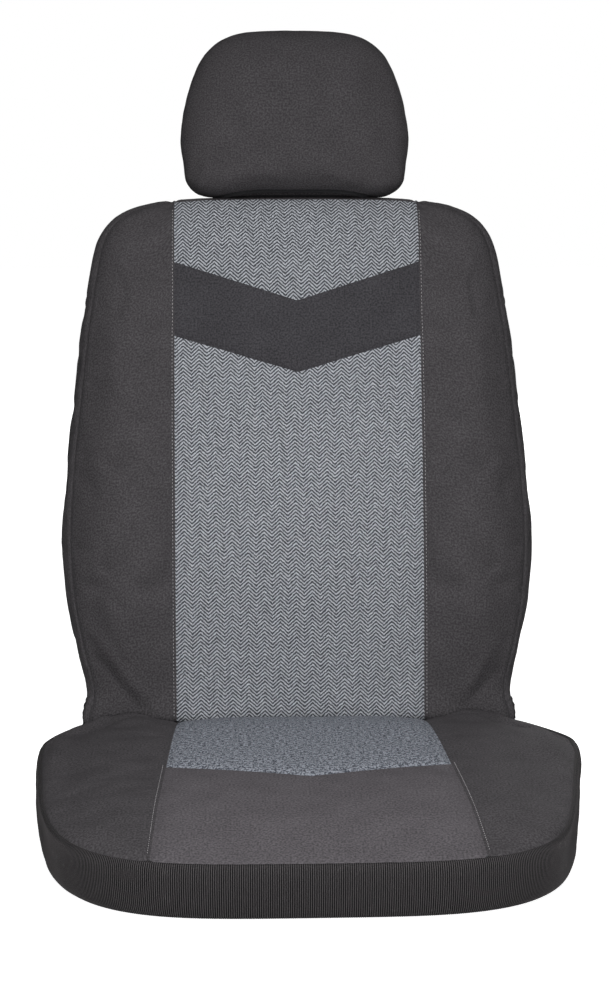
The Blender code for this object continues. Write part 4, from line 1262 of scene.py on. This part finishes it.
def head_uv(points, front):
    """The knit runs round the sides, over the top and under the foot."""
    x, y, height = np.moveaxis(points, -1, 0)
    back = HEAD_HALF_DEPTH + (y if front else -y)
    return np.stack([x * (1 + 6 * back), height + back * (2 * height / HEAD_TALL - 1)], -1)


def head_panel(node, front):
    """One half of the headrest cover, a bowl that ends at the side seam and at the opening."""
    gap = SEAM_GAP / 0.05
    side = 1 if front else -1

    def place(u, v):
        a, b = 2 * v - 1, 2 * u - 1
        largest = np.maximum(np.abs(a), np.abs(b))
        size = np.maximum(outline_share(a, b, HEAD_OUTLINE_POWER), 1e-9)
        out, up = a / size, b / size
        mouth = head_mouth(up)
        last = (side * gap - HEAD_SEAM_TURN) * (1 - mouth) + side * HEAD_MOUTH_TURN * mouth
        return head_point(out, up, side * math.pi / 2 + (last - side * math.pi / 2) * largest)

    panel(
        node, "headrest_cover", place, "nesw", relief=head_folds, slack=0.004, push=0.4, share=0.6,
        uv_of=lambda points, along: head_uv(points, front),
    )


def head_elastic():
    """Elastic round the headrest cover's opening."""
    ups = np.concatenate([np.linspace(0.93, 1.0, 14), np.linspace(1.0, 0.93, 14)[1:]])
    signs = np.concatenate([np.ones(14), -np.ones(13)])
    path = []
    for front in (1, -1):
        run = []
        for up, sign in zip(ups, signs):
            out = max(1 - up**HEAD_OUTLINE_POWER, 0.0) ** (1 / HEAD_OUTLINE_POWER)
            mouth = head_mouth(-up)
            turn = -HEAD_SEAM_TURN * (1 - mouth) + front * (HEAD_MOUTH_TURN + 0.02) * mouth
            run.append(head_point(np.array(sign * out), np.array(-up), turn + 1e-6))
        path += run[::front]
    path = np.array(path)
    path = path + unit(np.array([0.0, 0.0, 0.05]) - path) * HEAD_ELASTIC_INSET
    along = np.roll(path, -1, axis=0) - np.roll(path, 1, axis=0)
    thick = unit(np.cross(along, UP))
    band(
        "headrest_hem_elastic_band", lift(path), turned(lift, path, UP), turned(lift, path, thick), ELASTIC,
        "elastic", "headrest_cover", "elastic_band", "headrest_hem_elastic", closed=True, ruffle=0.0005,
    )


# ---- Cushion ------------------------------------------------------------------------
REAR_TAIL = (SEAT_ROLL, math.radians(95), 0.006)
TIP_TAIL = (0.0003, math.pi / 2, 0.0008)       # the side panels' front points
SIDE_TAIL = (0.0012, math.pi / 2, 0.0012)      # and their seams, trimmed short


def seat_insert_half(y):
    """Half width of the insert, y from the bight."""
    share = np.clip(y / (SEAT_MIDDLE - SEAT_FRONT), 0, 1)
    return SEAT_INSERT_HALF[0] + (SEAT_INSERT_HALF[1] - SEAT_INSERT_HALF[0]) * share


def seat_front_edge(x):
    """Front seam in plan, from the bight."""
    return SEAT_MIDDLE - SEAT_FRONT * (1 - (np.abs(x) / SEAT_HALF) ** SEAT_POWER) ** (1 / SEAT_POWER)


def seat_uv(points, along):
    """The weave runs on from panel to panel: across by x, along by y."""
    return points[..., :2]


def seat_inserts():
    """Rear insert and front panel, either side of the shallow V-shaped seam."""

    def rear(x):
        return 0 * x + SEAT_EDGE - SEAT_ROLL

    def split(away):
        return lambda x: edge_v(SEAT_SPLIT, x, SPLIT_HALF) + away

    def front(x):
        return seat_front_edge(FRONT_SPREAD * x) + 2 * SEAM_GAP

    runs = (
        ("seat_rear_insert", "plain_insert", "plain", "new", rear, split(SEAM_GAP), {"s": REAR_TAIL}),
        ("seat_front_panel", "front_knit", "front", "nesw", split(-SEAM_GAP), front, None),
    )
    for node, slot, finish, sewn, start, end, tails in runs:

        def place(u, v, start=start, end=end):
            side = 2 * v - 1
            first, last = start(side * SPLIT_HALF), end(side * SPLIT_HALF)
            y = first + (last - first) * u
            return seat_top(side * (seat_insert_half(y) - 2 * SEAM_GAP), y)

        panel(
            node, "cushion_cover", place, sewn, slot, finish, tails=tails, uv_of=seat_uv,
            slack=0.005, push=0.4, share=0.7,
        )


def seat_puff(points):
    """The side panels stand full beside the skirt's seam, most at the rear."""
    x, y = points[..., 0], points[..., 1] - BIGHT_Y
    rear = 1 - np.where(x > 0, 0.65, 0.40) * ease(y, -0.070, 0.010)
    full = SEAT_PUFF * swell(seat_share(x, y), 0.955, 0.040) * (0.25 + 0.75 * ease(y, -0.34, -0.14)) * rear
    left = fold(x, y, (-0.232, -0.020), (-0.180, -0.075), 0.011, 0.0016)
    right = fold(x, y, (0.236, -0.025), (0.178, -0.060), 0.012, 0.0014)
    return full - left - right


def seat_bolster(side, sign):
    """Side panel of the cushion, from the insert's seam to the skirt's, round to the front."""
    end = seat_rim_at(SEAT_INSERT_HALF[1] + SEAT_CORNER_GAP)
    last_y = seat_front_edge(SEAT_INSERT_HALF[1]) + SEAT_CORNER_GAP / 2
    rear_y = SEAT_EDGE - SEAT_ROLL

    def place(u, v):
        x, y, out_x, out_y = seat_rim(u * end, rear_y + SEAT_REACH)
        x, y = x - out_x * SEAM_GAP, y - out_y * SEAM_GAP
        inner_y = rear_y + (last_y - rear_y) * ease_end(u)
        inner_x = seat_insert_half(inner_y) + SEAM_GAP
        x = np.maximum(x, inner_x + 0.001)
        points = seat_top(inner_x + (x - inner_x) * v, inner_y + (y - inner_y) * v) * [sign, 1, 1]
        points[..., 0] += seat_bulge(points[..., 0], points[..., 1] - BIGHT_Y)
        return points

    return panel(
        f"seat_bolster_{side}", "cushion_cover", place, "new", inside=SEAT_CORE + [0.15 * sign, 0, 0],
        relief=seat_puff, tails={"s": REAR_TAIL, "n": TIP_TAIL, "e": SIDE_TAIL, "w": SIDE_TAIL},
        uv_of=seat_uv, slack=0.007, push=0.6, share=0.5,
    )


RIB_POINTS = 4                         # points of the mesh to each rib
SKIRT_THICK = 0.0016


def skirt_outline():
    """The cushion's outline with even points from the rear, round the front to the other rear."""
    rear_y = SEAT_EDGE - SEAT_ROLL + SEAT_REACH
    first = math.asin(((rear_y - SEAT_MIDDLE) / SEAT_REAR) ** (SEAT_REAR_POWER / 2))
    even = np.linspace(0, 1, 1501)
    beside = np.arcsin(even ** (SEAT_POWER / 2))
    before = np.arccos(even ** (SEAT_POWER / 2))
    angles = np.concatenate([first * even, -beside[beside < 1.0], -before[before >= 1.0]])
    fine = (first - np.unique(angles)[::-1]) / (first + math.pi / 2)
    x, y, _, _ = seat_rim(fine, rear_y)
    walked = np.concatenate([[0], np.cumsum(np.hypot(np.diff(x), np.diff(y)))])
    from_front = np.arange(int(walked[-1] / RIB) * RIB_POINTS + 1) * RIB / RIB_POINTS
    at = np.interp(walked[-1] - from_front, walked, fine)
    x, y, out_x, out_y = seat_rim(at, rear_y)
    halves = ((x, -x), (y, y), (out_x, -out_x), (out_y, out_y), (from_front, -from_front))
    return rear_y, walked[-1], [np.concatenate([left[::-1], right[1:]]) for left, right in halves]


def seat_skirt():
    """Ribbed skirt round the cushion's sides and front, turned under at the foot."""
    rear_y, half_length, (xs, ys, ways_x, ways_y, walk) = skirt_outline()
    shape = np.array(SKIRT_SECTION)
    steps = walk_along(shape)
    seam_rows, side_rows = np.linspace(0, 0.004, 4), np.linspace(0.006, steps[7], 14)
    down = np.concatenate([seam_rows, side_rows, np.linspace(steps[7], steps[-1], 6)[1:]])
    outs, heights = (read(down) for read in smooth_path(steps, shape))
    flow_out, flow_up = np.gradient(outs, down), np.gradient(heights, down)
    size = np.hypot(flow_out, flow_up)
    face_out, face_up = -flow_up / size, flow_out / size
    amount = ease(down, 0.0005, 0.004) * (1 - ease(down, steps[6], steps[8]))
    rib = RIB_TALL * np.cos(2 * math.pi * walk / RIB)
    places = np.stack([xs, ys, 0 * xs], -1)
    sway = 0.0007 * ripple(places, 0.11, 5) + 0.0004 * ripple(places, 0.04, 9)
    climb = seat_rise(xs, ys) / SEAT_SEAM_Z
    rows, uvs = [], []
    for k in range(len(down)):
        proud = rib * amount[k] + sway * math.sin(math.pi * min(down[k] / steps[7], 1.0))
        reach = outs[k] + face_out[k] * proud
        behind = np.minimum(ys + ways_y * reach, rear_y) + BIGHT_Y
        level = np.maximum(heights[k] + face_up[k] * proud, 0.0) * (1 + climb)
        aside = seat_bulge(xs, ys) * ease(heights[k], -0.010, 0.026)
        rows.append(np.stack([xs + ways_x * reach + aside, behind, level + 0 * xs], -1))
        uvs.append(np.stack([walk, 0 * walk - down[k]], -1))
    normals = np.stack([ways_x, ways_y, 0 * xs], -1)[None].repeat(len(rows), 0)
    points, _, uv = tail(np.array(rows), normals, np.array(uvs), "s", 0.0010, math.pi / 2, 0.005)
    thing = mesh_object("seat_skirt_cloth", points, uv, SEAT_CORE)
    lined(thing, "rib", SKIRT_THICK)
    attach(thing, "cushion_cover", "ribbed_knit", "seat_skirt")


def seat_elastic():
    """Elastic in the hem under the cushion, along the skirt's turned-under edge."""
    x, y, out_x, out_y = seat_rim(np.linspace(0.02, 1, 41))
    inset = -SKIRT_SECTION[-1][0] + ELASTIC_LIFT + ELASTIC[0] / 2
    xs, ys = x - out_x * inset, np.minimum(y - out_y * inset, SEAT_EDGE) + BIGHT_Y
    path = mirrored(np.stack([xs, ys, 0 * xs + ELASTIC_LIFT + ELASTIC[1] / 2], -1))
    outs = mirrored(np.stack([out_x, out_y, 0 * xs], -1))
    band(
        "skirt_hem_elastic_band", path, outs, UP + 0 * path, ELASTIC, "elastic", "cushion_cover",
        "elastic_band", "skirt_hem_elastic", ruffle=0.0003,
    )


def seat_flap():
    """Flap that is pushed through the bight and down behind the cushion."""
    shape = np.array(FLAP_SECTION)
    steps = walk_along(shape)
    back, tall = smooth_path(steps, shape)

    def place(u, v):
        walk = np.clip(u, 0, 1) * steps[-1]
        wider = FLAP_WIDER * (1 - ease(walk, 0.010, 0.050))
        half = FLAP_HALF + wider - 0.35 * np.maximum(back(walk) - 0.01, 0)
        x = half * (2 * v - 1)
        wave = 0.0016 * (1 + np.sin(x / 0.021 + walk / 0.05)) * ease(walk, 0.02, 0.06)
        level = np.maximum(tall(walk), 0) + FABRIC + FLAP_ABOVE + 0.0026 * ease(walk, 0.05, 0.12) + wave
        return np.stack([x, BIGHT_Y + back(walk), level], -1)

    hem = (0.0012, math.radians(170), 0.010)
    join = (0.0015, math.pi / 2, 0.006)
    panel(
        "seat_tuck_flap", "cushion_cover", place, "", "flap_cloth", "flap",
        inside=np.array([0.0, BIGHT_Y, -0.3]),
        tails={"s": join, "w": hem, "e": hem, "n": hem}, slack=0.0,
        uv_of=lambda points, along: np.stack([points[..., 0], along], -1),
    )


# ---- Straps underneath --------------------------------------------------------------
def straps():
    """Two lengthwise straps and one across, each webbing, buckle and elastic."""
    front = SEAT_MIDDLE - SEAT_FRONT + BIGHT_Y
    mouth_y = BIGHT_Y - 0.300
    flap_z = float(np.interp(FLAP_STRAP, *zip(*FLAP_SECTION))) - WEBBING[1] / 2 - EDGE_GAP
    web = (
        (front + 0.024, STRAP_ON_HEM), (front + 0.040, STRAP_ON_HEM), (front + 0.060, STRAP_LOW),
        (mouth_y - SOCKET_BACK, STRAP_LOW),
    )
    stretch = (
        (mouth_y + PLUG_FRONT, STRAP_LOW), (BIGHT_Y + 0.044, STRAP_LOW), (BIGHT_Y + FLAP_STRAP, flap_z),
    )
    for side, sign in SIDES:
        x = sign * LONG_STRAP_X
        strap(side, [(x, y, z) for y, z in web], [(x, y, z) for y, z in stretch], (1, 0, 0))
    y = BIGHT_Y - 0.170
    reach = SEAT_HALF - 0.022
    web = (
        (-reach, STRAP_ON_HEM), (-reach + 0.022, STRAP_ON_HEM), (-reach + 0.060, STRAP_HIGH),
        (-SOCKET_BACK, STRAP_HIGH),
    )
    stretch = (
        (PLUG_FRONT, STRAP_HIGH), (reach - 0.060, STRAP_HIGH), (reach - 0.022, STRAP_ON_HEM),
        (reach, STRAP_ON_HEM),
    )
    strap("cross", [(x, y, z) for x, z in web], [(x, y, z) for x, z in stretch], (0, 1, 0))


def strap(side, web, stretch, across):
    """One strap: its webbing, and the elastic that shortens as its buckle's plug comes out."""
    for part, points, slot in (("webbing", web, "strap_webbing"), ("elastic", stretch, "elastic_band")):
        path = straight_bends(points)
        wide = np.repeat([across], len(path), axis=0)
        thing = band(
            f"strap_{part}_{side}_tape", path, wide, np.cross(np.gradient(path, axis=0), wide), WEBBING,
            part, "cushion_cover", slot, f"strap_{part}_{side}",
        )
    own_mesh(thing)


def straight_bends(points, round_off=0.010):
    """A path of straight runs whose corners are rounded off."""
    points = np.array(points, float)
    path = [points[0]]
    for before, corner, after in zip(points, points[1:], points[2:]):
        back, ahead = before - corner, after - corner
        reach = min(round_off, np.linalg.norm(back) / 2.2, np.linalg.norm(ahead) / 2.2)
        start = corner + back / np.linalg.norm(back) * reach
        end = corner + ahead / np.linalg.norm(ahead) * reach
        for s in np.linspace(0, 1, 5):
            path.append((1 - s) ** 2 * start + 2 * s * (1 - s) * corner + s**2 * end)
    path.append(points[-1])
    even = []
    for first, second in zip(path, path[1:]):
        steps = max(int(np.linalg.norm(second - first) / 0.006), 1)
        even += [first + (second - first) * k / steps for k in range(steps)]
    even.append(path[-1])
    return np.array(even)


def buckles():
    """The buckles keep their solids, with rounded edges and a moulded finish."""
    for side in ("left", "right", "cross"):
        for part in ("socket", "plug"):
            thing = frame["nodes"][f"buckle_{part}_{side}"]
            thing.data.materials.clear()
            thing.data.materials.append(FINISHES["plastic"])
            weld = thing.modifiers.new("weld", "WELD")
            weld.merge_threshold = 0.00002
            bevel = thing.modifiers.new("rounding", "BEVEL")
            bevel.width = 0.0006
            bevel.segments = 2
            bevel.limit_method = "ANGLE"
            bevel.angle_limit = math.radians(40)
            bevel.harden_normals = True


# ---- Stage --------------------------------------------------------------------------
CAMERA_AT = (-0.0852, BIGHT_Y - 2.3, 0.7069)
CAMERA_TURN = (math.radians(80.17), 0.0, math.radians(-2.246))
CAMERA_LENS = 76.55
AMBIENT = 0.09
FLOOR_REACH, FLOOR_LEVEL = 9.0, -0.0006
FLOOR_GLOW = 0.94
LIGHTS = (                         # name, place, target, size, power, and spread in degrees
    ("key", (-0.10, -3.4, 0.72), (0, 0.1, 0.42), (1.5, 0.9), 52, 180),
    ("seat_light", (0.0, -0.95, 1.75), (0, -0.16, 0.06), (0.8, 0.5), 6, 80),
    ("rear_light", (0.9, 3.4, 1.1), (0, 0.1, 0.40), (1.8, 1.2), 60, 180),
)


def camera():
    """The view from the front, a little from above and from the left."""
    data = bpy.data.cameras.new("camera")
    data.lens = CAMERA_LENS
    made = new_object("camera", data)
    made.location = CAMERA_AT
    made.rotation_euler = CAMERA_TURN
    bpy.context.scene.camera = made


def softbox(name, at, target, size, power, spread):
    """A soft rectangular light at a place, turned to a target."""
    data = bpy.data.lights.new(name, "AREA")
    data.shape = "RECTANGLE"
    data.size, data.size_y = size
    data.energy = power
    data.spread = math.radians(spread)
    made = new_object(name, data)
    made.location = at
    x, y, z = np.subtract(target, at)
    made.rotation_euler = (math.atan2(math.hypot(x, y), -z), 0.0, math.atan2(y, x) - math.pi / 2)
    made.visible_camera = False


def only_seen(tree, seen, otherwise):
    """A strength that differs between what the eye sees directly and what lights the set."""
    path = tree.nodes.new("ShaderNodeLightPath")
    mix = tree.nodes.new("ShaderNodeMix")
    tree.links.new(path.outputs["Is Camera Ray"], mix.inputs[0])
    mix.inputs[2].default_value = otherwise
    mix.inputs[3].default_value = seen
    return mix.outputs[0]


def studio():
    """A pale floor that runs into a white backdrop, under soft light from the front."""
    mesh = bpy.data.meshes.new("floor")
    plan = ((-1, -1), (1, -1), (1, 1), (-1, 1))
    corners = [(x * FLOOR_REACH, y * FLOOR_REACH, FLOOR_LEVEL) for x, y in plan]
    mesh.from_pydata(corners, [], [(0, 1, 2, 3)])
    floor = new_object("floor", mesh)
    paint = bpy.data.materials.new("pale_floor")
    paint.use_nodes = True
    shader = paint.node_tree.nodes["Principled BSDF"]
    shader.inputs["Base Color"].default_value = (0.80, 0.80, 0.80, 1.0)
    shader.inputs["Roughness"].default_value = 0.9
    shader.inputs["Specular IOR Level"].default_value = 0.1
    shader.inputs["Emission Color"].default_value = (1.0, 1.0, 1.0, 1.0)
    glow = only_seen(paint.node_tree, FLOOR_GLOW, 0.0)
    paint.node_tree.links.new(glow, shader.inputs["Emission Strength"])
    mesh.materials.append(paint)
    world = bpy.data.worlds.new("studio")
    world.use_nodes = True
    ground = world.node_tree.nodes["Background"]
    ground.inputs["Color"].default_value = (1.0, 1.0, 1.0, 1.0)
    world.node_tree.links.new(only_seen(world.node_tree, 1.0, AMBIENT), ground.inputs["Strength"])
    bpy.context.scene.world = world
    bpy.context.scene.view_settings.view_transform = "Standard"
    for light in LIGHTS:
        softbox(*light)


# ---- Whole set ----------------------------------------------------------------------
LIGHT_STITCH_END = -0.215              # from the bight; behind this the cushion's thread is dark
INSERT_STITCH_AWAY = 0.0027            # stitching's distance from its seam
STITCH_AWAY = 0.0030
SECOND_STITCH_AWAY = 0.0080


def stitch_seams(bolsters, sides, seat_bolsters, rear):
    """Light stitching beside the centre panels, dark stitching along the other seams."""
    light = [seam_line(made, "w", INSERT_STITCH_AWAY) for made in bolsters]
    stitches("back_insert_stitching", "light_thread", "backrest_cover", light)
    lines = [seam_line(made, "w", STITCH_AWAY) for made in seat_bolsters]
    front = [points[:, 1] < BIGHT_Y + LIGHT_STITCH_END for points, _ in lines]
    light = [(points[keep], ways[keep]) for (points, ways), keep in zip(lines, front)]
    stitches("seat_insert_stitching", "light_thread", "cushion_cover", light)
    dark = [(points[~keep], ways[~keep]) for (points, ways), keep in zip(lines, front)]
    stitches("seat_rear_stitching", "dark_thread", "cushion_cover", dark)
    dark = [seam_line(made, "e", away) for made in bolsters for away in (STITCH_AWAY, SECOND_STITCH_AWAY)]
    dark += [seam_line(made, "w", STITCH_AWAY) for made in sides]
    stitches("back_side_stitching", "dark_thread", "backrest_cover", dark)
    dark = [seam_line(rear, side, STITCH_AWAY) for side in "we"]
    stitches("rear_panel_stitching", "dark_thread", "backrest_cover", dark)


def build():
    camera()
    back_inserts()
    bolsters = [back_bolster(side, sign) for side, sign in SIDES]
    sides = [back_side(side, sign) for side, sign in SIDES]
    back_top()
    slot_bindings()
    rear = back_rear()
    back_elastic()
    head_panel("headrest_front_panel", True)
    head_panel("headrest_back_panel", False)
    head_elastic()
    seat_inserts()
    seat_bolsters = [seat_bolster(side, sign) for side, sign in SIDES]
    seat_skirt()
    seat_elastic()
    seat_flap()
    straps()
    buckles()
    stitch_seams(bolsters, sides, seat_bolsters, rear)
    studio()


build()
